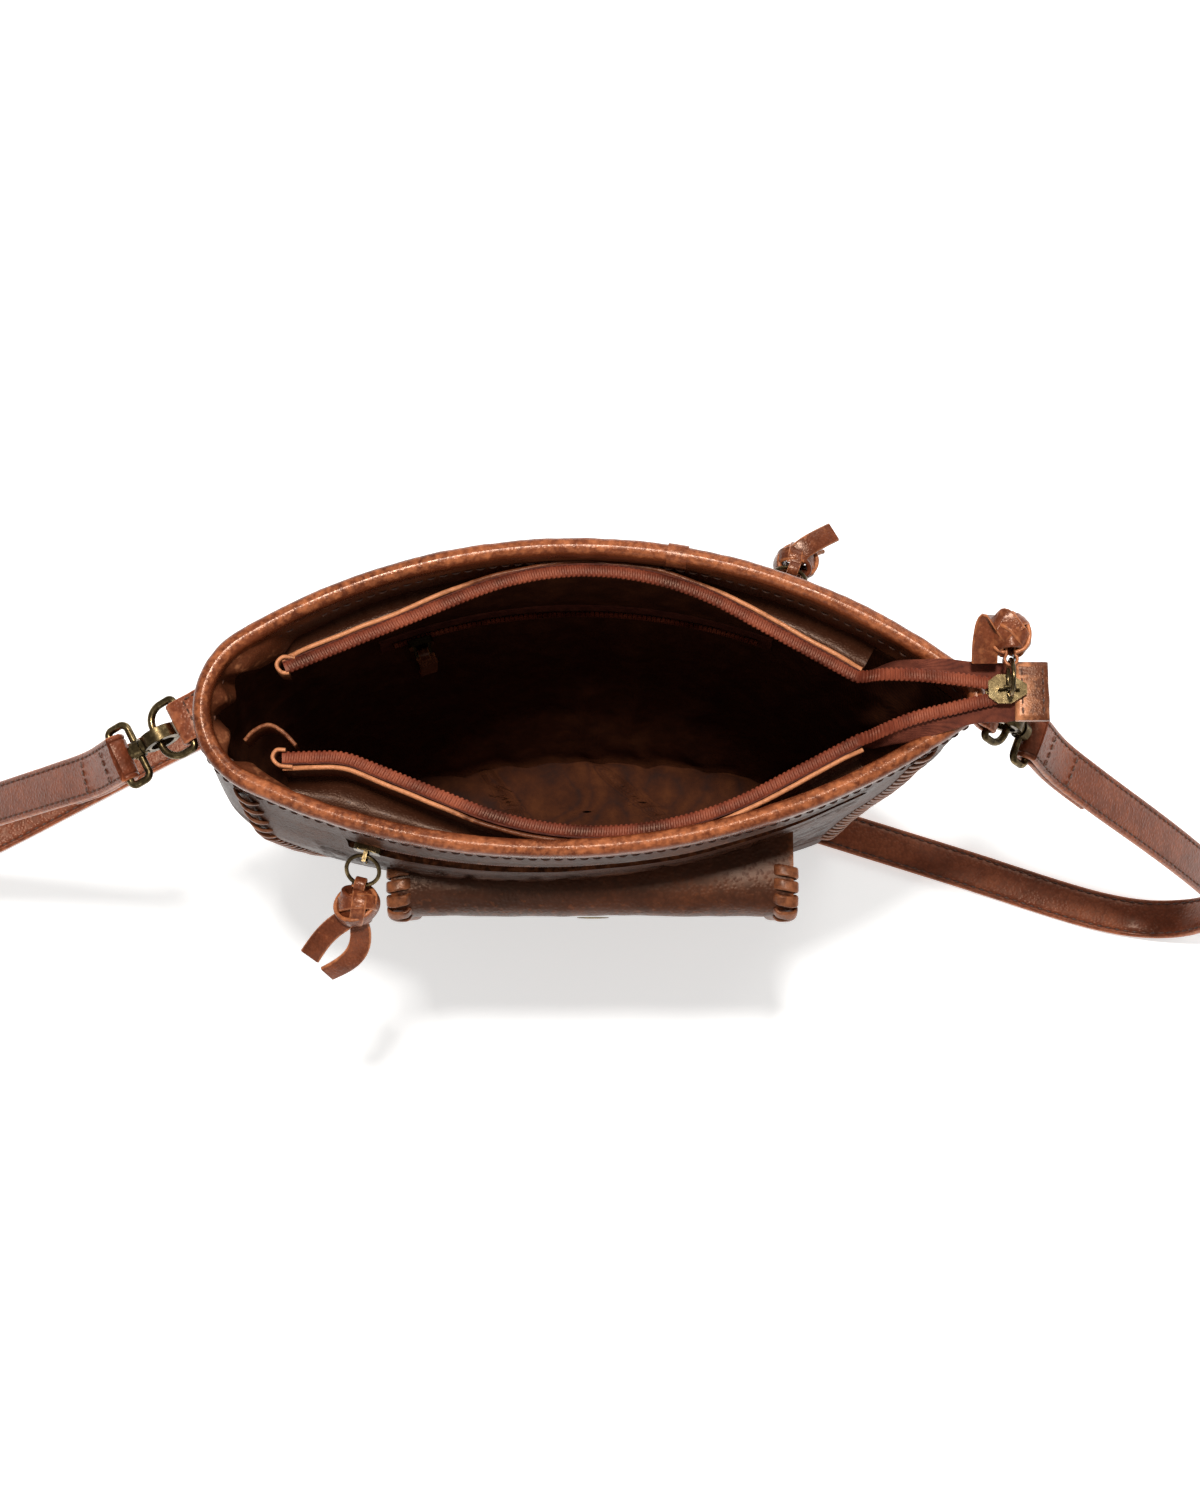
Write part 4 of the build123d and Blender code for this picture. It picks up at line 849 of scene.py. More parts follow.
def lining_push(x, y, z, where, length):
    """How far in the loose lining stands off the leather."""
    drop = smoothstep(205 - z, 0, 40)
    lean = bumpy(x, y, z * 0.35, 26, 6.6) + 0.5 * bumpy(x, y, z * 0.7, 11, 1.1)
    crease = abs(sin(where / length * 2 * pi * 9 + 2.2 * bumpy(x, y, z, 60, 0.4)))
    zip_near = np.exp(-((z - INNER_ZIP_LEVEL) / 13.0) ** 4) * (1 - smoothstep(abs(x + 6), 66, 84)) * (y > 0)
    slack = 4.5 * smoothstep(58 - z, 0, 42) * smoothstep(y, 8, 22) * (1 - smoothstep(abs(x - 4), 66, 92))
    return drop * (1.6 + 1.7 * lean + 1.5 * crease ** 6) * (1 - zip_near) + slack


def lining_floor(x, y, t):
    """Height of the lining's floor over its lowest level: slack, with two folds across it."""
    slack = 1.6 * max(bumpy(x, y, 0, 24, 3.3), -0.2) * (1 - t) ** 0.3 + 0.3
    left_fold = 2.4 * np.exp(-((x + 41 - 0.7 * (10 - y)) / 2.0) ** 2) * smoothstep(24 - abs(y - 8), 0, 12)
    right_fold = 1.7 * np.exp(-((x - 22 + 1.2 * y) / 2.6) ** 2) * smoothstep(22 - abs(y), 0, 12)
    return slack + left_fold + right_fold


def lining():
    """The loose cloth bag, floor and walls in one sheet."""
    shape = Shape()
    outer = []
    for z in np.concatenate([[6.6, 7.4, 8.8, 11], np.arange(14, 203, 3.2), [204.4]]):
        corner = max(0.0, 11.0 - z)
        flat, out, where = closed_ring(z, 4.1 + corner ** 2 / 11.0, 330)
        length = where[-1]
        outer.append([(*(p - n * max(lining_push(p[0], p[1], z, w, length), 0.0)), z)
                      for p, n, w in zip(flat, out, where)])
    outer = np.array(outer)
    floor = []
    centre = outer[0].mean(axis=0)
    for t in np.linspace(0.96, 0.02, 24):
        line = lerp(centre, outer[0], t)
        line[:, 2] = 6.4 + np.array([lining_floor(x, y, t) for x, y, _ in line])
        floor.append(line)
    sheet = np.concatenate([np.array(floor[::-1]), outer])
    sheet = sheet.transpose(1, 0, 2)
    normal = unit(np.cross(np.gradient(sheet, axis=1), np.roll(sheet, -1, 0) - np.roll(sheet, 1, 0)))
    middle = sheet.mean(axis=(0, 1))
    if (normal * (sheet - middle)).sum() > 0:
        normal = -normal
    shape.slab(sheet, sheet + normal * 0.6, None, None, closed_u=True)
    return shape, sheet


lining_shape, lining_sheet = lining()
lining_item = made("inside_lining", lining_shape, "lining_cloth", nodes=("lining",), wear=False)


shape = Shape()
where = [locate(12.6, 6.0, x, 1) for x in np.linspace(-52, 86, 130)]
flat, normals = ring_points(12.6, 6.0, where)
welt = at_height(flat - normals * 1.4, 10.6)
welt[:, 2] += [0.5 * bumpy(x, y, 0, 14, 3.0) for x, y, _ in welt]
inward = unit(at_height(-normals, 0.8))
shape.sweep(welt, unit(np.cross(tangents(welt), inward)), inward, round_box(2.2, 1.3, 0.6, 3))
made("lining_seam", shape, "lining_cloth", wear=False)
sewn("lining_seam_stitching", [(welt + inward * 0.5 + (0, 0, 0.3), inward)], 3.6, 2.0, 0.7, 0.25,
     thread("lining_thread", rgb(120, 82, 52), rgb(160, 118, 80)))


# ------------------------------------------------------------------ inside pockets and the inner zip
def wall_line(z, inset, xs, side, push=0.0):
    """Points on a wall at given x, and the way out of it."""
    p, n = ring_points(z, inset, [locate(z, inset, x, side) for x in xs])
    return at_height(p + n * np.reshape(push, (-1, 1)), z), at_height(n, 0.0)


def wall_patch(zs, inset, x_range, side, count, push=None, thick=0.6):
    """A layer on a wall: outer and inner grids; push(x, z) moves it out of the plan."""
    xs = np.linspace(*x_range, count)
    outer, inner, uv = [], [], []
    for z in zs:
        move = np.array([push(x, z) for x in xs]) if push else np.zeros(count)
        line, n = wall_line(z, inset, xs, side)
        outer.append(line + n * move[:, None])
        inner.append(line + n * (move - thick)[:, None])
        uv.append(np.stack([xs, np.full(count, z)], axis=1))
    return np.array(outer), np.array(inner), np.array(uv)


SLIP_FOOT, SLIP_TOP, SLIP_HALF = 60, 158, 76


def pocket_gap(x, z):
    """How far the slip pocket's cloth hangs away from the wall, most at its loose top."""
    rise = smoothstep(z, SLIP_FOOT, SLIP_TOP)
    sides = 1 - smoothstep(abs(x), 60, 75)
    slump = 5.4 * rise * sides * (0.75 + 0.5 * sin(x * 0.055 + 0.8))
    middle = np.exp(-((x + 2) / 5.0) ** 2)
    return -(slump * (1 - 0.85 * middle) + 0.8 * bumpy(x, 0, z, 14, 3.0) * rise * sides)


slip_x = (-SLIP_HALF, SLIP_HALF)
outer, inner, uv = wall_patch(np.linspace(SLIP_FOOT, SLIP_TOP, 44), 5.4, slip_x, -1, 90, pocket_gap)
shape = Shape()
shape.slab(outer, inner, uv)
slip = made("slip_pocket", shape, "lining_cloth", nodes=("inner_front_pocket",), wear=False)


def trim_gap(x, _):
    """The trim follows the pocket's top edge and lies half a millimetre nearer to the wall."""
    return pocket_gap(x, 157.9) + 0.5


outer, inner, uv = wall_patch(np.linspace(156, 163.9, 7), 5.4, slip_x, -1, 100, trim_gap, 1.5)
shape = Shape()
# painted highlight: the trim grows lighter towards its top edge
shape.slab(outer, inner, uv, np.tile(np.array([0.1, 0.0, 0.0, 0.1, 0.2, 0.4, 0.7])[:, None], (1, 100)))
made("slip_trim", shape, "facing_leather", nodes=("inner_pocket_trim",))
row_x = np.linspace(-75, 75, 120)
slip_rows = [wall_line(158.2, 7.0, row_x, -1, [pocket_gap(x, 157.9) for x in row_x]),
             wall_line(61.0, 6.2, row_x, -1)]
sewn("slip_stitching", [(line, -n) for line, n in slip_rows], 3.6, 2.5, 0.6, 0.1)


def coil_turn(shape, at, t, profile, *reaches):
    """One turn of a zip's coil: a bar bent by how far it reaches along each direction."""
    bar = at
    for direction, reach in reaches:
        bar = bar + direction * reach[:, None]
    rows = rows_of(t, len(bar))
    shape.sweep(bar, rows, unit(np.cross(rows, tangents(bar))), profile)


def wall_zip(name, side, level, x_range, tape_inset, coil_inset, facing, tape_width=14.0):
    """Tape and coil lying on a wall; the coil faces out (1) or in (-1)."""
    shape = Shape()
    zs = np.linspace(level - tape_width / 2, level + tape_width / 2 - 0.6, 12)
    shape.slab(*wall_patch(zs, tape_inset, (x_range[0] - 4, x_range[1] + 4), side, 120))
    made(name + "_tape_cloth", shape, "zip_tape", nodes=(name + "_tape",), wear=False)
    shape = Shape()
    line, n = wall_line(level, coil_inset, np.linspace(x_range[0] + 0.5, x_range[1] - 0.5, 200), side)
    line = resample(line, step=0.85)
    ends = np.linspace(-1, 1, 5)
    for i in range(1, len(line) - 1):
        t = unit(line[i + 1] - line[i - 1])
        up = unit(np.cross(t, UP)) * facing
        if np.dot(up, n[min(int(i / len(line) * len(n)), len(n) - 1)]) * facing < 0:
            up = -up
        lean = 0.16 if i % 2 else -0.16
        coil_turn(shape, line[i], t, circle(0.44, 6), (UP, ends * 1.75), (up, 0.95 * np.cos(ends * 1.35)),
                  (t, ends * lean))
    made(name + "_coil_teeth", shape, "zip_coil", nodes=(name + "_coil",), wear=False)


wall_zip("front_zip", -1, ZIP_LEVEL, ZIP[-1], 2.35, 1.6, 1)
wall_zip("back_zip", 1, ZIP_LEVEL, ZIP[1], 2.35, 1.6, 1)
wall_zip("inner_zip", 1, INNER_ZIP_LEVEL, (-72.0, 60.0), 4.9, 6.1, -1, tape_width=12.0)


# ------------------------------------------------------------------ top zip
def route_line(points, radii, count=260):
    """The zip's line: straight runs joined by arcs, sampled evenly, in the plan."""
    points = [np.array(p, float) for p in points]
    out = [points[0]]
    for i, radius in zip(range(1, len(points) - 1), radii):
        a, b, c = points[i - 1], points[i], points[i + 1]
        u, v = unit(a - b), unit(c - b)
        half = np.arccos(np.clip(np.dot(u, v), -1, 1)) / 2
        reach = radius / np.tan(half)
        centre = b + unit(u + v) * radius / np.sin(half)
        start, end = b + u * reach, b + v * reach
        a0, a1 = atan2(*(start - centre)[::-1]), atan2(*(end - centre)[::-1])
        delta = (a1 - a0 + pi) % (2 * pi) - pi
        for t in np.linspace(0, 1, 60):
            out.append(centre + radius * np.array([cos(a0 + delta * t), sin(a0 + delta * t)]))
    out.append(points[-1])
    return resample(np.array(out), count)


ROUTES = {1: route_line([(-102, 11), (4.5, 55.7), (88, 8)], [99]),
          -1: route_line([(-102, -20), (-82, -19.5), (8.3, -56.4), (88, -14)], [25, 115])}
# where each half of the coil meets the end tab, in the plan
JOIN = {1: (136.0, 1.7), -1: (136.0, -1.7)}
PLACKET_TOP = 219.0


def beside(line, offset):
    """A plan line moved to its left by an offset."""
    t = tangents(line)
    return line + np.stack([-t[:, 1], t[:, 0]], axis=1) * offset


for side, word in ((1, "back"), (-1, "front")):
    line = ROUTES[side]
    # folded leather placket: a thin band with a rounded upper fold, soft waves and stitching; its upper fold
    # is painted lighter as a highlight where it shows
    path = beside(line, side * 2.9)
    path3 = at_height(path, 212.0)
    out3 = at_height(unit(beside(line, 1.0) - line), 0.0)
    band = [(0.8, z) for z in np.linspace(-6.6, 6.2, 12)]
    cap = [(0.8 * cos(a), 6.4 + 0.8 * sin(a)) for a in np.linspace(0.2, pi - 0.2, 6)]
    profile = np.array(band + cap + [(-x, z) for x, z in band[::-1]])
    rows, wear = [], []
    for i, p in enumerate(path3):
        prof = profile.copy()
        prof[:, 0] += 0.5 * bumpy(p[0], p[1], 0, 15, 2.0 + side) * smoothstep(prof[:, 1], -6, 6)
        prof[:, 1] += 0.35 * bumpy(p[0], p[1], 3, 9, 6.0) * smoothstep(prof[:, 1], 0, 7)
        shown = smoothstep(abs(p[0] + 2), 30, 50)
        prof[:, 1] -= (1 - shown) * 1.8 * smoothstep(prof[:, 1], 0, 7)
        fit = smoothstep(i, 0, 14) * smoothstep(len(path3) - 1 - i, 0, 10)
        prof[:, 1] = np.where(prof[:, 1] > 3, 3 + (prof[:, 1] - 3) * (0.55 + 0.45 * fit), prof[:, 1])
        rows.append(prof)
        # painted highlight along the top of the fold
        wear.append(0.95 * shown * smoothstep(profile[:, 1], 4.2, 7.0))
    shape = Shape()
    shape.sweep(path3, out3, rows_of(UP, len(path3)), np.array(rows), wear=np.array(wear))
    # ledge that joins the placket to the facing, painted dark all over as shade
    ledge_out = []
    cx, cy, radius = long_arc(section_at(206), side)
    for p, q in zip(path, out3):
        for d in np.arange(0.5, 60, 0.5):
            x, y = p + q[:2] * side * d
            if hypot(x - cx, y - cy) > radius - 3.7 or x < -124 or x > 121:
                break
        ledge_out.append(p + q[:2] * side * (d - 0.4))
    ledge_out = np.array(ledge_out)
    steps = np.linspace(0, 1, 8)
    top = np.array([[(*lerp(a, b, t), 206.3 - 5.0 * sin(t * pi) + 0.3 * bumpy(a[0], a[1], t * 9, 8, 1.0))
                     for t in steps] for a, b in zip(path, ledge_out)])
    if side < 0:
        top = top[:, ::-1]
    under = top - vec(0, 0, 1.2)
    keep = np.linalg.norm(ledge_out - path, axis=1) > 0.8
    mask = np.tile(keep[:, None], (1, len(steps)))
    # painted shade: -1 gives the ledge the darkened colour
    shape.slab(top, under, None, np.full(top.shape[:2], -1.0), mask=mask)
    made(word + "_placket_fold", shape, "facing_leather", nodes=(word + "_placket",))
    row = at_height(beside(line, side * 2.0), PLACKET_TOP - 1.6)
    sewn(word + "_placket_stitching", [(row[8:-8], -out3[8:-8] * side)], 3.4, 2.4, 0.55, 0.1)

    # tape hanging beside the coil, and the coil itself with its turns
    shape = Shape()
    zs = np.linspace(205.3, PLACKET_TOP, 9)
    outer_t, inner_t = [np.array([[(*q, z) for z in zs] for q in beside(line, side * offset)])
                        for offset in (1.95, 1.45)]
    if side < 0:
        outer_t, inner_t = inner_t, outer_t
    shape.slab(outer_t, inner_t)
    made(word + "_mouth_tape", shape, "zip_tape", nodes=(word + "_tape",), wear=False)
    shape = Shape()
    chain = at_height(line, 218.0)
    tail = np.array([[*line[-1], 218.0], [*(line[-1] + (3.2, side * -0.6)), 221.5],
                     [*(line[-1] + (7.0, side * -1.4)), 228.0], [104.0, side * 5.6, 232.2],
                     [118.0, side * 4.2, 232.5], [*JOIN[side], 232.5]])
    if side < 0:
        tail[3, 1] = -9.6
        tail[4, 1] = -6.0
    chain = np.concatenate([chain[:-1], curve_through(tail, 14)])
    chain = resample(chain, step=1.7)
    t = tangents(chain)
    ends = np.linspace(-1, 1, 7)
    for i in range(1, len(chain) - 1):
        across = unit(np.cross(UP, t[i])) * -side
        for k in (-1, 1):
            coil_turn(shape, chain[i], t[i], circle(0.6, 6, 0.8), (across, ends * 2.0 + 0.3),
                      (UP, k * 0.8 * np.cos(ends * 1.45) + 0.3), (t[i], k * 0.1 + ends * 0.28))
    flat_up = rows_of(UP, len(chain))
    core_side = unit(np.cross(flat_up, t))
    core = chain + core_side * -side * 0.3 + (0, 0, 0.25)
    shape.sweep(core, core_side, flat_up, round_box(3.7, 1.5, 0.6, 2))
    made(word + "_mouth_coil", shape, "zip_coil", nodes=(word + "_coil",), wear=False)

# the plackets' left ends fold round the ends of the coil, and a strip curls beside the front one; bright is
# how strongly their upper edges are painted lighter as a highlight
for name, points, tall, bright in (
        ("front_placket_end", [(-98.5, -22.6, 214.6), (-103.2, -21.9, 214.8), (-105.2, -19.4, 214.8),
                               (-104.0, -17.0, 214.6), (-101.0, -16.8, 214.2)], 9.0, 0.85),
        ("back_placket_end", [(-98.5, 14.2, 214.6), (-102.8, 14.4, 214.8), (-104.6, 11.8, 214.8),
                              (-103.0, 9.4, 214.6), (-100.4, 9.2, 214.2)], 9.0, 0.85),
        ("front_facing_curl", [(-97.6, -15.4, 213.4), (-101.4, -11.4, 213.8), (-106.6, -8.6, 213.8),
                               (-111.4, -10.4, 213.2), (-114.6, -13.6, 212.4)], 12.0, 0.35)):
    shape = Shape()
    curl = curve_through(np.array(points), 8)
    level_up, curl_prof = rows_of(UP, len(curl)), round_box(1.3, tall, 0.6, 3)
    shape.sweep(curl, unit(np.cross(level_up, tangents(curl))), level_up, curl_prof,
                wear=bright * smoothstep(curl_prof[:, 1], tall * 0.3, tall * 0.48)[None])
    made(name, shape, "facing_leather")

# flat tail of the tape: two strips that leave the mouth, meet, and run into the end tab
shape = Shape()
back_in = np.array([(88, 8.6), (96, 7.2), (104, 6.6), (118, 5.0), (136, 0.35), (147.3, 0.35)])
front_in = np.array([(88, -14.6), (96, -12.2), (104, -10.2), (118, -6.8), (136, -0.35), (147.3, -0.35)])
for inside, sign in ((back_in, 1), (front_in, -1)):
    grid = []
    for a in curve_through(inside, 12):
        flat = smoothstep(a[0], 84, 126)
        turn = radians(8 + 76 * flat)
        climb = 217.6 + 13.0 * smoothstep(a[0], 87, 101)
        wide = 12.4 - 6.6 * smoothstep(a[0], 88, 110) + 3.0 * smoothstep(a[0], 120, 136)
        room = 9.3 + 6.0 * (1 - smoothstep(a[0], 100, 130)) - abs(a[1])
        line = []
        for t in np.linspace(0, 1, 10):
            d = min(wide, room / max(sin(turn), 0.3)) * t
            y = a[1] + sign * (0.6 + d * sin(turn))
            z = climb - d * cos(turn) + 0.35 * bumpy(a[0], y, 0, 7, 4.0) * t
            line.append((a[0], y, z))
        grid.append(line)
    grid = np.array(grid)
    if sign < 0:
        grid = grid[:, ::-1]
    shape.slab(grid, grid - vec(0, 0, 0.6))
made("tape_tail", shape, "zip_tape", nodes=("tail_tape",), wear=False)

# folded end tab, stitched across
shape = Shape()
tab_rows = []
for y in np.linspace(-9.7, 9.7, 30):
    edge = 1 - smoothstep(abs(y), 8.3, 9.9)
    tab_rows.append([(143.2 + x + 0.25 * bumpy(x, y, 0, 6, 3.0), y,
                      230.75 + z * (0.6 + 0.4 * edge) + 0.15 * bumpy(x, y, z, 5, 1.0))
                     for x, z in round_box(11.2, 3.9, 1.5, 4)])
tab_rows = np.array(tab_rows)
tab_wear = np.where(tab_rows[:, :, 0] < 139.2, 0.85, 0.0) + np.where(tab_rows[:, :, 0] > 147.6, 0.3, 0.0)
ids = shape.grid(tab_rows, None, tab_wear, closed_v=True, flip=True)
shape.faces.append(tuple(int(i) for i in ids[0]))
shape.faces.append(tuple(int(i) for i in reversed(ids[-1])))
made("tail_tab", shape, "facing_leather", nodes=("zip_end_tab",))
tab_lines = [np.array([(x, y, 232.75) for y in np.linspace(-8.2, 8.2, 40)]) for x in (139.8, 146.6)]
sewn("tail_tab_stitching", [(line, rows_of(UP, 40)) for line in tab_lines], 3.2, 2.3, 0.6, 0.05)


# ------------------------------------------------------------------ laced side seams
def lace_bar(shape, centre_line, normals, width=3.2, thick=1.3, wear=0.25):
    """One short run of lace over an edge, rubbed most in its middle."""
    side = unit(np.cross(normals, tangents(centre_line)))
    shape.sweep(centre_line, side, normals, round_box(width, thick, thick * 0.48, 3),
                wear=wear + 0.35 * np.cos(np.linspace(-1.2, 1.2, len(centre_line)))[:, None])


LACE_BARS, LACE_FIRST, LACE_PITCH, LACE_REACH = 27, 24.0, 7.0, 4.9
for end in ("left", "right"):
    for side, word in ((-1, "front"), (1, "back")):
        shape = Shape()
        for i in range(LACE_BARS):
            z = LACE_FIRST + LACE_PITCH * i
            place = locate(z, 0.0, seam_x(end, z), side)
            d = np.linspace(-LACE_REACH, LACE_REACH, 11)
            slant = 0.16 * d * (1 if side < 0 else -1) + rng.uniform(-0.25, 0.25)
            line, normals = [], []
            for dd, dz in zip(d, slant):
                p, n = ring_points(z + dz, 0.0, [place + dd])
                push = -0.9 + 2.3 * cos(dd / LACE_REACH * 1.45) ** 0.7 + soft(p[0][0], p[0][1], z + dz)
                line.append((*(p[0] + n[0] * push), z + dz))
                normals.append((*n[0], 0.0))
            lace_bar(shape, np.array(line), np.array(normals))
        made(f"{word}_{end}_lace", shape, "lace_leather", nodes=(f"{word}_{end}_lacing",))

# ------------------------------------------------------------------ flap pocket
POUCH = (-67.0, 67.0)
POUCH_TOP = 160.0
FLAP_SEAM = 177.0
FLAP_HALF = 69.0
SOFT_LEATHER = 1.8  # how thick the pouch's and the flap's leather is


def face_y(z):
    """Where the pouch's face lies: it leans out towards its foot."""
    return -62.0 - 0.13043 * (z - POUCH_TOP)


def wall_y(x, z):
    """Where the front wall's plan lies."""
    return float(ring_points(z, 0.0, [locate(z, 0.0, x, -1)])[0][0][1])


def pouch():
    """The pocket under the flap: back edge, side, face, side and back edge in one sheet."""
    xs = np.concatenate([[POUCH[0]] * 5, POUCH[0] + 5 * (1 - np.cos(np.linspace(0.3, pi / 2, 5))),
                         np.linspace(-60, 60, 62),
                         POUCH[1] - 5 * (1 - np.cos(np.linspace(pi / 2, 0.3, 5))), [POUCH[1]] * 5])
    deep = np.concatenate([[0.0, 0.2, 0.45, 0.65, 0.8], 0.8 + 0.2 * np.sin(np.linspace(0.3, pi / 2, 5)),
                           np.ones(62),
                           0.8 + 0.2 * np.sin(np.linspace(pi / 2, 0.3, 5)), [0.8, 0.65, 0.45, 0.2, 0.0]])
    rows, wear, uv = [], [], []
    along = np.cumsum(np.concatenate([[0], np.full(len(xs) - 1, 2.0)]))
    for z in np.concatenate([[68.2, 68.0, 68.8, 70.5, 73], np.arange(76, 159, 3.0), [POUCH_TOP]]):
        first = z == 68.2
        curl = 4.0 * max(0.0, (73 - z) / 5.0) ** 2
        line = []
        for x, d in zip(xs, deep):
            back = wall_y(x, max(z, 70)) + 0.5
            front = face_y(z) + curl - 1.2 * sin(pi * (z - 68) / 92) * cos(x / 67 * 1.45) \
                - 0.5 * bumpy(x, 0, z, 22, 5.0)
            y = back + (front - back) * (0.0 if first else d)
            line.append((x, y, z))
        rows.append(line)
        wear.append([0.5 * (1 - smoothstep(abs(z - 68), 0, 3)) + 0.5 * smoothstep(z, 157, 160)
                     + 0.3 * np.exp(-((d - 0.9) / 0.08) ** 2) for d in deep])
        uv.append([(a, z) for a in along])
    outer = np.array(rows)
    normal = unit(np.cross(np.gradient(outer, axis=1), np.gradient(outer, axis=0)))
    centre = vec(0, -40, 115)
    normal = np.where(((normal * (outer - centre)).sum(axis=-1) < 0)[..., None], -normal, normal)
    shape = Shape()
    layers = outer, outer - normal * SOFT_LEATHER, np.array(uv), np.array(wear)
    shape.slab(*[values[:, ::-1] for values in layers])
    return shape


made("pocket_front", pouch(), "flap_leather", nodes=("pocket_pouch",))


def flap_profile():
    """The flap's line in the Y-Z plane, from its seam on the wall over its fold to its lower edge."""
    down = [(face_y(z) - 2.2, z) for z in np.linspace(POUCH_TOP, 112, 9)]
    lead = [(-49.0, FLAP_SEAM), (-53.5, 176.9), (-57.6, 176.3), (-61.4, 174.6), (-64.2, 171.6),
            (-65.4, 167.0)]
    return curve_through(np.array(lead + down), 6)


def flap():
    """The flap's leather, with its line, ways out and distances for the lace to follow."""
    line = resample(flap_profile(), step=1.5)
    xs = np.concatenate([np.linspace(-69, -63, 7), np.linspace(-61.5, 61.5, 72), np.linspace(63, 69, 7)])
    out2 = tangents(line)
    out2 = np.stack([out2[:, 1], -out2[:, 0]], axis=1)
    rows, wear, uv = [], [], []
    length = distances(line)
    for k, (p, n) in enumerate(zip(line, out2)):
        row, w = [], []
        low = length[-1] - length[k]
        for x in xs:
            corner = max(0.0, abs(x) - 61.0)
            lift = 8.0 - sqrt(max(64.0 - corner ** 2, 0.0)) if corner else 0.0
            q = p.copy()
            push = 0.45 * bumpy(x, 0, length[k], 20, 9.0) + 0.25 * bumpy(x, 0, length[k], 7, 2.0)
            edge = smoothstep(abs(x), 66, 69) + smoothstep(3 - low, 0, 3)
            q += n * (push - 0.5 * edge) * smoothstep(length[k], 2, 10)
            if low < 12:
                q[1] += lift * (1 - low / 12.0)
            if k == 0:
                q[0] = max(q[0], wall_y(x, FLAP_SEAM) + 0.3)
            row.append((x, q[0], q[1]))
            w.append(min(1.0, 0.7 * edge + 0.28 * np.exp(-((p[1] - 169) / 6.0) ** 2)))  # edges rubbed; the band at the fold is a painted highlight
        rows.append(row)
        wear.append(w)
        uv.append([(x, length[k]) for x in xs])
    top = np.array(rows)
    # the seam's edge follows the curved wall
    for j, x in enumerate(xs):
        gap = wall_y(x, FLAP_SEAM) + 0.4 - top[0, j, 1]
        for i in range(9):
            top[i, j, 1] += gap * (1 - i / 9.0) ** 1.2
    n3 = np.concatenate([np.zeros((len(line), 1)), out2], axis=1)[:, None]
    sign = 1 if n3[len(line) // 2, 0, 1] < 0 else -1
    layers = top, top - n3 * sign * SOFT_LEATHER, np.array(uv), np.array(wear)
    shape = Shape()
    shape.slab(*[values[::-1] for values in layers])
    return shape, line, out2 * sign, length


flap_shape, flap_line, flap_out, flap_length = flap()
flap_item = piece("pocket_flap_leather", flap_shape, MAT["flap_leather"], None,
                  ("pocket_flap", "pocket_flap_root"))
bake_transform(flap_item)

# the section of one lace stitch: how far in from the flap's edge, off its face and along it
FLAP_STITCH = ((6.2, -0.5, -1.0), (5.2, 0.9, -0.8), (3.2, 1.35, -0.5), (1.2, 1.3, -0.1), (-0.5, 0.6, 0.2),
               (-1.0, -0.9, 0.4), (-0.5, -2.3, 0.6), (1.4, -2.9, 0.8), (3.4, -2.8, 1.0))
FLAP_ROOT = 9.0  # stitches nearer to the seam than this stay on the purse
root_lace, flap_lace = Shape(), Shape()
for sign in (-1, 1):
    for s in np.concatenate([[2.6, 7.4], np.arange(12.6, flap_length[-1] - 3, 5.6)]):
        i = float(np.interp(s, flap_length, np.arange(len(flap_length))))
        a = int(i)
        after = flap_line[min(a + 1, len(flap_line) - 1)]
        p = lerp(flap_line[a], after, i - a)
        n, t = flap_out[a], unit(after - flap_line[a])
        loop = []
        for x_in, off, slip_along in FLAP_STITCH:
            q = p + n * off + t * slip_along
            loop.append((sign * (FLAP_HALF - x_in), q[0], q[1]))
        loop = curve_through(np.array(loop), 4)
        normals = loop - np.array([sign * 64.0, *(p - n * 0.9)])
        normals[:, 1:] -= np.outer(normals[:, 1:] @ t, t)
        lace_bar(root_lace if s < FLAP_ROOT else flap_lace, loop, unit(normals), 3.9, 1.5)
made("flap_lace", flap_lace, "lace_leather", body="flap", nodes=("flap_lacing",))
made("flap_root_lace", root_lace, "lace_leather")

# the snap's cap: a low dome with a ring pressed into it
SNAP_LEVEL = 126.0
shape = Shape()
snap_out = unit(vec(0, -1, -0.13))
snap_up = unit(vec(0, -0.13, 1))
snap_at = vec(0, face_y(SNAP_LEVEL) - 3.15, SNAP_LEVEL)
a = np.linspace(0, 2 * pi, 40, endpoint=False)
dome = []
for r, h in ((0.05, 0.6), (1.2, 0.59), (2.4, 0.55), (3.4, 0.42), (3.8, 0.3), (4.2, 0.42), (5.0, 0.4),
             (5.7, 0.25), (6.0, -0.1)):
    around = vec(1, 0, 0) * np.cos(a)[:, None] + snap_up * np.sin(a)[:, None]
    dome.append(snap_at + snap_out * h + r * around)
shape.grid(np.array(dome), closed_v=True)
made("snap_dome", shape, "antique_brass", body="flap", nodes=("snap_cap",))


# ------------------------------------------------------------------ strap
class Frame:
    """A place with axes of its own, to lay out what hangs from it."""

    def __init__(self, origin, x, y, z):
        self.o, self.x, self.y, self.z = vec(*origin), vec(*x), vec(*y), vec(*z)

    def at(self, x, y, z):
        return self.o + self.x * x + self.y * y + self.z * z


PLACES = {
    "left": Frame((-138, -3.8, 200), (-0.852862, -0.453475, -0.258819), (0.469472, -0.882948, 0.0),
                  (-0.228524, -0.121508, 0.965926)),
    "right": Frame((135, 0, 202), (0.628777, -0.228856, -0.743145), (0.34202, 0.939693, 0.0),
                   (0.698328, -0.25417, 0.669131)),
}
EYE_BAR = 26.0  # from a ring's place out to the middle of the bar that holds the strap
BAR_TURN = 3.0  # radius of the strap's middle round that bar
STRAP_WIDTH, STRAP_THICK = 16.0, 2.5
SEAM_IN = 6.1  # from the strap's middle to its stitched grooves
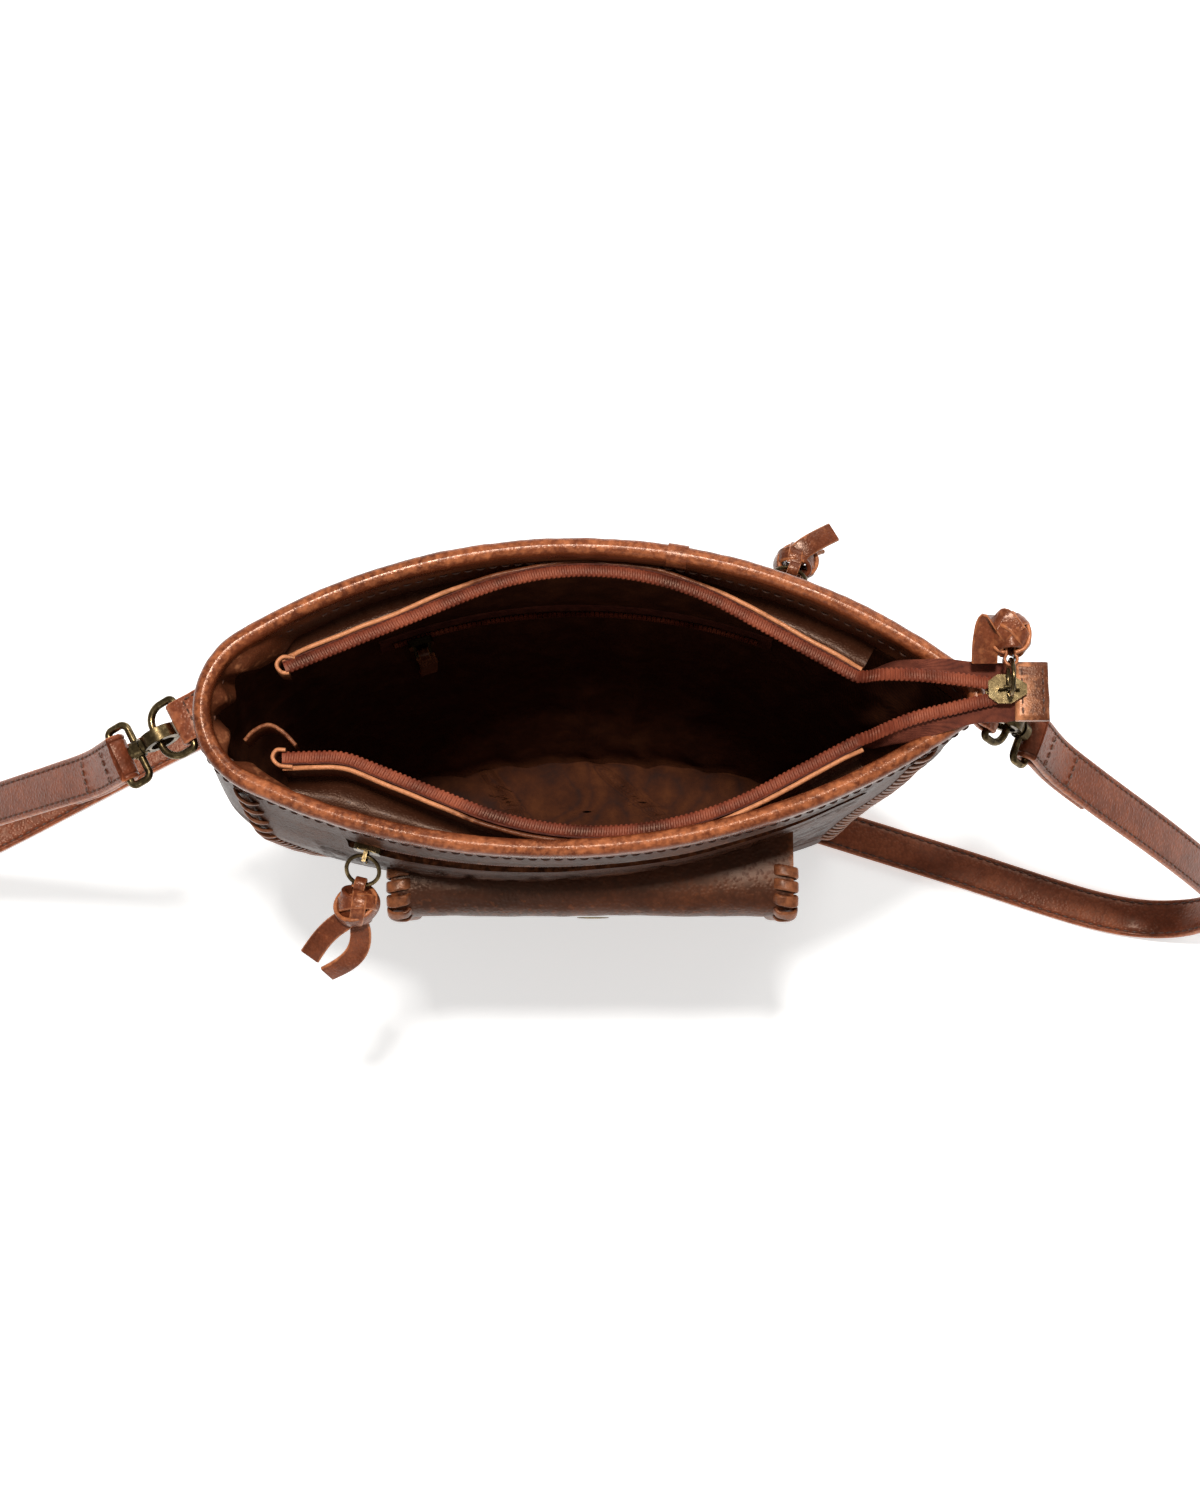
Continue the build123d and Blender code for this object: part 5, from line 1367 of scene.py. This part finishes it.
# x, y and z of the strap's middle, and the turn in degrees of its width
STRAP = np.array([
    [163, -11, 167, -21], [182, -19, 145, -21], [203, -27, 121, -20], [222, -34, 97, -20],
    [238, -39.5, 72, -19], [248, -43.5, 48, -18], [249, -45.5, 28, -18], [242, -46.5, 12, -18],
    [228, -46, 3.6, -18], [208, -42.4, 1.6, -17.6], [150, -24, 1.6, -17.6], [90, -5, 1.6, -17.6],
    [20, 17.3, 1.6, -17.6], [-55.6, 41.4, 1.6, -17.6], [-78.9, 46.8, 1.6, -8.5], [-102.8, 48.4, 1.6, 0.7],
    [-126.6, 46.3, 1.6, 9.8], [-149.8, 40.3, 1.6, 19], [-171.7, 30.8, 1.6, 28.1], [-212, 9.2, 1.6, 28],
    [-251, -11.6, 1.8, 28], [-266, -19, 5.2, 27], [-276, -22.5, 16, 25], [-280, -24, 32, 23],
    [-276, -24, 51, 20], [-265, -23, 70, 16], [-249, -21.5, 92, 12], [-230, -20, 113, 10],
    [-210, -18.8, 134, 9], [-190, -17.8, 156, 12], [-173, -17, 176, 20],
])


def strap_profile(width, thick):
    """Half-round edges and a stitched groove near each edge, on both faces."""
    h, t = width / 2, thick / 2
    top = [(-h + 0.05, 0.35 * t), (-h + 0.35, 0.8 * t), (-h + 0.9, t), (-h + 1.5, t + 0.05),
           (-h + 1.9, t - 0.3), (-h + 2.35, t + 0.05), (-h + 4, t + 0.12), (-2.0, t + 0.22), (0, t + 0.25)]
    top = top + [(-x, z) for x, z in top[:-1][::-1]]
    return np.array(top + [(x, -z) for x, z in top[::-1]])[::-1]


def strap_run(points, headings):
    """A smooth strap centre line with its across and outward directions."""
    line = resample(curve_through(np.concatenate([points, headings[:, None]], axis=1), 10), step=2.2)
    path, turn = line[:, :3], np.radians(line[:, 3])
    t = tangents(path)
    side = squared(np.stack([-np.sin(turn), np.cos(turn), np.zeros(len(turn))], axis=1), t)
    return path, side, unit(np.cross(t, side))


shape, strap_stitch = Shape(), Shape()
right, left = PLACES["right"], PLACES["left"]
# the upper layer leaves the two eyes' bars and becomes the single strap
start = right.at(EYE_BAR, 0, 0) + right.z * BAR_TURN
finish = left.at(EYE_BAR, 0, 0) + left.z * BAR_TURN
path, side, out = strap_run(np.vstack([start, STRAP[:, :3], finish]),
                            np.concatenate([[-20], STRAP[:, 3], [28]]))
if out[len(path) // 3, 2] < 0:
    out = -out


def lay_strap(path, side, out, thick=STRAP_THICK, seed=0.0, stitch=True):
    profile = strap_profile(STRAP_WIDTH, thick)
    rows, wear = [], []
    for p in path:
        wave = 0.25 * bumpy(*p, 11, seed)
        cockle = 0.35 * bumpy(*p, 4.5, seed + 3)
        prof = profile.copy()
        prof[:, 1] += 0.18 * wave + 0.2 * cockle * (1 - (prof[:, 0] / 8) ** 2)
        prof[:, 0] *= 1 + 0.012 * cockle
        rows.append(prof)
        wear.append(0.75 * smoothstep(np.abs(profile[:, 0]), 7.0, 7.9) + 0.25 * max(cockle, 0)
                    - 0.5 * np.exp(-((np.abs(profile[:, 0]) - SEAM_IN) / 0.3) ** 2))
    shape.sweep(path, side, out, np.array(rows), wear=np.array(wear))
    if stitch:
        for edge in (-SEAM_IN, SEAM_IN):
            for face in (1, -1):
                row = path + side * edge + out * face * (thick / 2 - 0.35)
                stitches(strap_stitch, row, out * face, 3.6, 2.7, 0.7, 0.1)


lay_strap(path, side, out)
# folded-back ends: round the bar, then 42 mm under the strap, sewn through with two cross seams
for place, order in ((right, 1), (left, -1)):
    run, run_side, run_out = [values[::order][:24] for values in (path, side, out)]
    s = 1.0 if np.dot(run_out[0], place.z) > 0 else -1.0
    centre = place.at(EYE_BAR, 0, 0)
    loop = np.array([centre + place.x * (-BAR_TURN * abs(cos(b - pi))) + place.z * BAR_TURN * sin(b)
                     for b in np.radians(np.linspace(90, 270, 12))])
    whole = np.vstack([loop, run[3:22] - run_out[3:22] * s * 2.75])
    whole = resample(curve_through(resample(whole, step=3.0), 3), step=1.6)
    t = tangents(whole)
    across = squared(rows_of(run_side[0], len(whole)), t)
    lay_strap(whole, across, unit(np.cross(t, across)), 2.3, 4.0, stitch=False)
    for k in (4, 13):
        seam = run[k] + run_out[k] * s * 1.35 + run_side[k] * np.linspace(-6.5, 6.5, 20)[:, None]
        stitches(strap_stitch, seam, rows_of(run_out[k] * s, 20), 3.0, 2.2, 0.7, 0.15)
made("strap_leather_band", shape, "strap_leather", nodes=("shoulder_strap",))
piece("strap_stitching", strap_stitch, SEWING, "purse")

# ------------------------------------------------------------------ ring tabs
tab_rows = []
for word, reach in (("left", 10.8), ("right", 12.5)):
    place = PLACES[word]
    profile = [(-reach, 1.15), (-8, 1.2), (-5, 1.5), (-2.6, 2.2)]
    profile += [(2.45 * sin(radians(a)), 2.45 * cos(radians(a))) for a in np.linspace(-20, 200, 13)]
    profile += [(-2.6, -2.2), (-5, -1.5), (-8, -1.2), (-reach, -1.15)]
    line = resample(curve_through(np.array(profile), 4), step=0.9)
    path = np.array([place.at(x, 0, z) for x, z in line])
    across = rows_of(place.y, len(path))
    out = unit(np.cross(tangents(path), across))
    if np.dot(out[0], place.z) < 0:
        out = -out
    shape = Shape()
    prof = round_box(15.0, 1.7, 0.75, 3)
    shape.sweep(path, across, out, prof, wear=0.8 * smoothstep(np.abs(prof[:, 0]), 6.4, 7.4)[None]
                + 0.45 * smoothstep(line[:, 0], -1, 2)[:, None])
    made(word + "_tab_loop", shape, "strap_leather", nodes=(word + "_ring_tab",))
    along_tab = np.linspace(-reach + 1, -3.4, 12)
    rows = [[place.at(x, edge, 1.2 + 0.95 + 0.35 * smoothstep(x, -6, -3)) for x in along_tab]
            for edge in (-5.9, 5.9)] + [[place.at(-4.2, w, 2.65) for w in np.linspace(-6, 6, 14)]]
    tab_rows += [(np.array(row), rows_of(place.z, len(row))) for row in rows]
sewn("tab_stitching", tab_rows, 2.8, 2.0, 0.65, 0.1)


# ------------------------------------------------------------------ knotted pulls
def strip(shape, line, across, width, thick, wear=0.2):
    """A flat leather strip along a line whose broad face turns with it."""
    t = tangents(line)
    across = squared(across, t)
    prof = round_box(width, thick, thick * 0.46, 3)
    shape.sweep(line, across, unit(np.cross(t, across)), prof,
                wear=wear + 0.6 * smoothstep(np.abs(prof[:, 0]), width * 0.38, width * 0.5)[None])


KNOT_AT = 8.2  # from the pull's start to the middle of its knot


def pull(word, f, tails, length, width, bows, seed, extra):
    """Neck round the ring's wire, a knot of crossing bands, and flat tails.

    f's x runs out along the pull. Each tail has an angle, a length and a sideways bow; extra is one more
    strip: its points in the frame of the whole purse, the way across it, and its width."""
    shape = Shape()
    neck = [f.at(6.0, 0, 1.5)]
    neck += [f.at(2.0 * cos(a), 0, 2.0 * sin(a)) for a in np.radians(np.linspace(50, 310, 12))]
    neck += [f.at(6.0, 0, -1.5)]
    neck = curve_through(np.array(neck), 3)
    strip(shape, neck, rows_of(f.y, len(neck)), 3.9, 1.0)
    for tilt, grow, turn in ((0.0, 0.0, 0.0), (3.6, 0.7, 0.5), (-3.6, 1.2, -0.4)):
        a = np.linspace(0, 2 * pi, 36, endpoint=False)
        line = np.array([f.at(KNOT_AT + tilt * sin(b + turn) * 1.25, (5.3 + grow) * cos(b),
                              (3.7 + grow) * sin(b)) for b in a])
        t = tangents(line, closed=True)
        outward = squared(unit(line - f.at(KNOT_AT, 0, 0)), t)
        prof = round_box(5.4 if tilt else 10.5, 1.6, 0.75, 4)
        shape.sweep(line, unit(np.cross(outward, t)), outward, prof, closed=True,
                    wear=0.1 + 0.6 * smoothstep(np.abs(prof[:, 0]), 1.6, 2.6)[None] * (tilt != 0))
    # one band lengthways over the knot's face, into the first tail
    for sign in (1, -1):
        points = ((2.0, 0.6 * sign, 1.6), (3.6, 1.2 * sign, 4.6), (KNOT_AT, 1.6 * sign, 5.9),
                  (12.4, 1.2 * sign, 4.4), (15.0, 0, 1.0))
        over = curve_through(np.array([f.at(x, y, sign * z) for x, y, z in points]), 6)
        strip(shape, over, rows_of(f.y, len(over)), 5.0, 1.4, 0.3)
    for k, (angle, span) in enumerate(zip(tails, length)):
        a = radians(angle)
        direction = f.x * cos(a) + f.y * sin(a)
        across = -f.x * sin(a) + f.y * cos(a)
        steps = np.linspace(-3.0, span, 22)
        line, acrosses = [], []
        for s in steps:
            u = max(s, 0) / span
            lift = (0.9 if k else -0.9) + 0.8 * sin(u * 3.0 + seed + k)
            line.append(f.at(11.7, 0, 0) + direction * s + across * (bows[k] * sin(u * pi)) + f.z * lift)
            twist = 0.35 * sin(u * 2.2 + seed + 2 * k)
            acrosses.append(across * cos(twist) + f.z * sin(twist))
        line = np.array(line)
        t = tangents(line)
        acrosses = squared(np.array(acrosses), t)
        rows = [round_box(width * (0.62 + 0.38 * smoothstep(s, -3, 6)), 1.6, 0.72, 3) for s in steps]
        half = np.abs(round_box(width, 1.6, 0.72, 3)[:, 0])
        shape.sweep(line, acrosses, unit(np.cross(t, acrosses)), np.array(rows),
                    wear=0.1 + 0.75 * smoothstep(half, width * 0.4, width * 0.5)[None])
    if extra is not None:
        band = curve_through(np.array(extra[0]), 6)
        strip(shape, band, rows_of(unit(vec(*extra[1])), len(band)), extra[2], 1.7, 0.15)
    made(word + "_knot_pull", shape, "pull_leather", body=word + "_pull", nodes=(word + "_zip_pull",))


HANGS = {
    "front": Frame((-77.923, -58.01, 193.316), (-0.189934, -0.764778, -0.615661), (-0.970518, 0.24103, 0.0),
                   (0.148393, 0.59751, -0.788011)),
    "back": Frame((69.2, 51.443, 193.316), (0.183558, 0.497112, -0.848048), (0.938091, -0.346389, 0.0),
                  (-0.293755, -0.795546, -0.529919)),
    "main": Frame((134.75, 8.093, 241.841), (0, 1, 0), (0, 0, 1), (1, 0, 0)),
}
for word, tails, length, width, bows, seed, extra in (
        ("front", (32, 13), (24, 27), 7.4, (1.6, -6.0), 0.4, None),
        ("back", (20,), (15,), 7.0, (-1.0,), 1.9,
         ([(68.5, 55.5, 190.5), (73.5, 59.5, 192.0), (78.5, 62.8, 190.8), (83.6, 66.2, 187.5)],
          (-0.6, 0.78, 0.12), 7.2)),
        ("main", (-75, -105), (12, 12), 6.8, (0.0, 0.0), 3.0,
         ([(135.5, 15.0, 247.2), (131.6, 19.6, 248.0), (128.2, 19.8, 246.4), (126.8, 14.6, 243.4),
           (126.9, 8.0, 238.4)], (0.96, 0.2, 0.2), 8.4))):
    pull(word, HANGS[word], tails, length, width, bows, seed, extra)

# the inside zip's plain strip pull
shape = Shape()
inner = Frame((-60.196, 29.839, 157.0), (0.954089, 0.299524, 0), (0, 0, 1), (0.299524, -0.954089, 0))
loop = [inner.at(0, -5.0, 0.9)]
loop += [inner.at(0, 1.55 * sin(a), 1.55 * cos(a)) for a in np.radians(np.linspace(-50, 230, 12))]
loop = curve_through(np.array(loop + [inner.at(0, -5.0, -0.9)]), 3)
strip(shape, loop, rows_of(inner.x, len(loop)), 3.9, 1.0)
tail_line = np.array([inner.at(0.6 * sin(s * 0.12), -s, 0.5 * sin(s * 0.16))
                      for s in np.linspace(3.2, 30, 24)])
strip(shape, tail_line, rows_of(inner.x, 24), 6.8, 1.7, 0.1)
made("inner_strip_pull", shape, "pull_leather", body="inner_pull", nodes=("inner_zip_pull",))

# ------------------------------------------------------------------ brass: cast pieces keep their CAD form
BRASS = ["main_slider", "front_zip_slider", "back_zip_slider", "inner_zip_slider", "main_pull_ring",
         "front_pull_ring", "back_pull_ring", "snap_stud"]
for word in ("left", "right"):
    BRASS += [word + "_d_ring", word + "_clasp_hook", word + "_clasp_eye", word + "_clasp_gate"]
for node in BRASS:
    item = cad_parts[node]
    if not item.material_slots:
        item.data.materials.append(MAT["antique_brass"])
    for holder in item.material_slots:
        holder.material = MAT["antique_brass"]

# ------------------------------------------------------------------ studio
floor_mesh = bpy.data.meshes.new("studio_floor")
FLOOR_REACH, FLOOR_DROP = 4.0, -0.0004  # metres
corners = [(x * FLOOR_REACH, y * FLOOR_REACH, FLOOR_DROP) for x, y in ((-1, -1), (1, -1), (1, 1), (-1, 1))]
floor_mesh.from_pydata(corners, [], [(0, 1, 2, 3)])
g = Graph("studio_floor")
paper = g.noise(300.0, 2.0)
floor_mesh.materials.append(g.finish(g.ramp(paper, [(0.3, (0.90, 0.90, 0.895)), (0.7, (0.93, 0.93, 0.925))]),
                                     g.levels(paper, 0.3, 0.7, 0.75, 0.85),
                                     Emission_Color=(1.0, 0.995, 0.985, 1.0), Emission_Strength=0.5))
floor = bpy.data.objects.new("studio_floor", floor_mesh)
bpy.context.scene.collection.objects.link(floor)

world = bpy.data.worlds.new("studio")
bpy.context.scene.world = world
world.use_nodes = True
world.node_tree.nodes["Background"].inputs["Color"].default_value = (1.0, 0.995, 0.985, 1.0)
world.node_tree.nodes["Background"].inputs["Strength"].default_value = 0.3


def lamp(name, place, aim, size, power, colour=(1, 1, 1)):
    light = bpy.data.lights.new(name, "AREA")
    light.shape, light.size, light.energy, light.color = "DISK", size, power, colour
    item = bpy.data.objects.new(name, light)
    item.location = place
    item.rotation_euler = (Vector(aim) - Vector(place)).to_track_quat("-Z", "Y").to_euler()
    bpy.context.scene.collection.objects.link(item)


lamp("key", (-0.05, 0.19, 2.0), (0, 0, 0.1), 0.2, 33, (1.0, 0.985, 0.96))
lamp("back", (0.7, 1.3, 1.1), (0, 0, 0.15), 0.9, 6, (1.0, 0.99, 0.97))
lamp("low", (-0.6, -1.5, 1.0), (0, 0, 0.1), 1.0, 3)

camera_data = bpy.data.cameras.new("camera")
camera_data.lens, camera_data.sensor_width, camera_data.sensor_fit = 60.0, 36.0, "AUTO"
camera_data.clip_start, camera_data.clip_end = 0.05, 20.0
camera = bpy.data.objects.new("camera", camera_data)
camera.location = (0.0026, -0.174, 1.0265)
camera.rotation_euler = Vector((0.0, 0.1908, -0.9816)).to_track_quat("-Z", "Y").to_euler()
bpy.context.scene.collection.objects.link(camera)
bpy.context.scene.camera = camera
bpy.context.scene.view_settings.view_transform = "Standard"
bpy.context.scene.view_settings.look = "None"
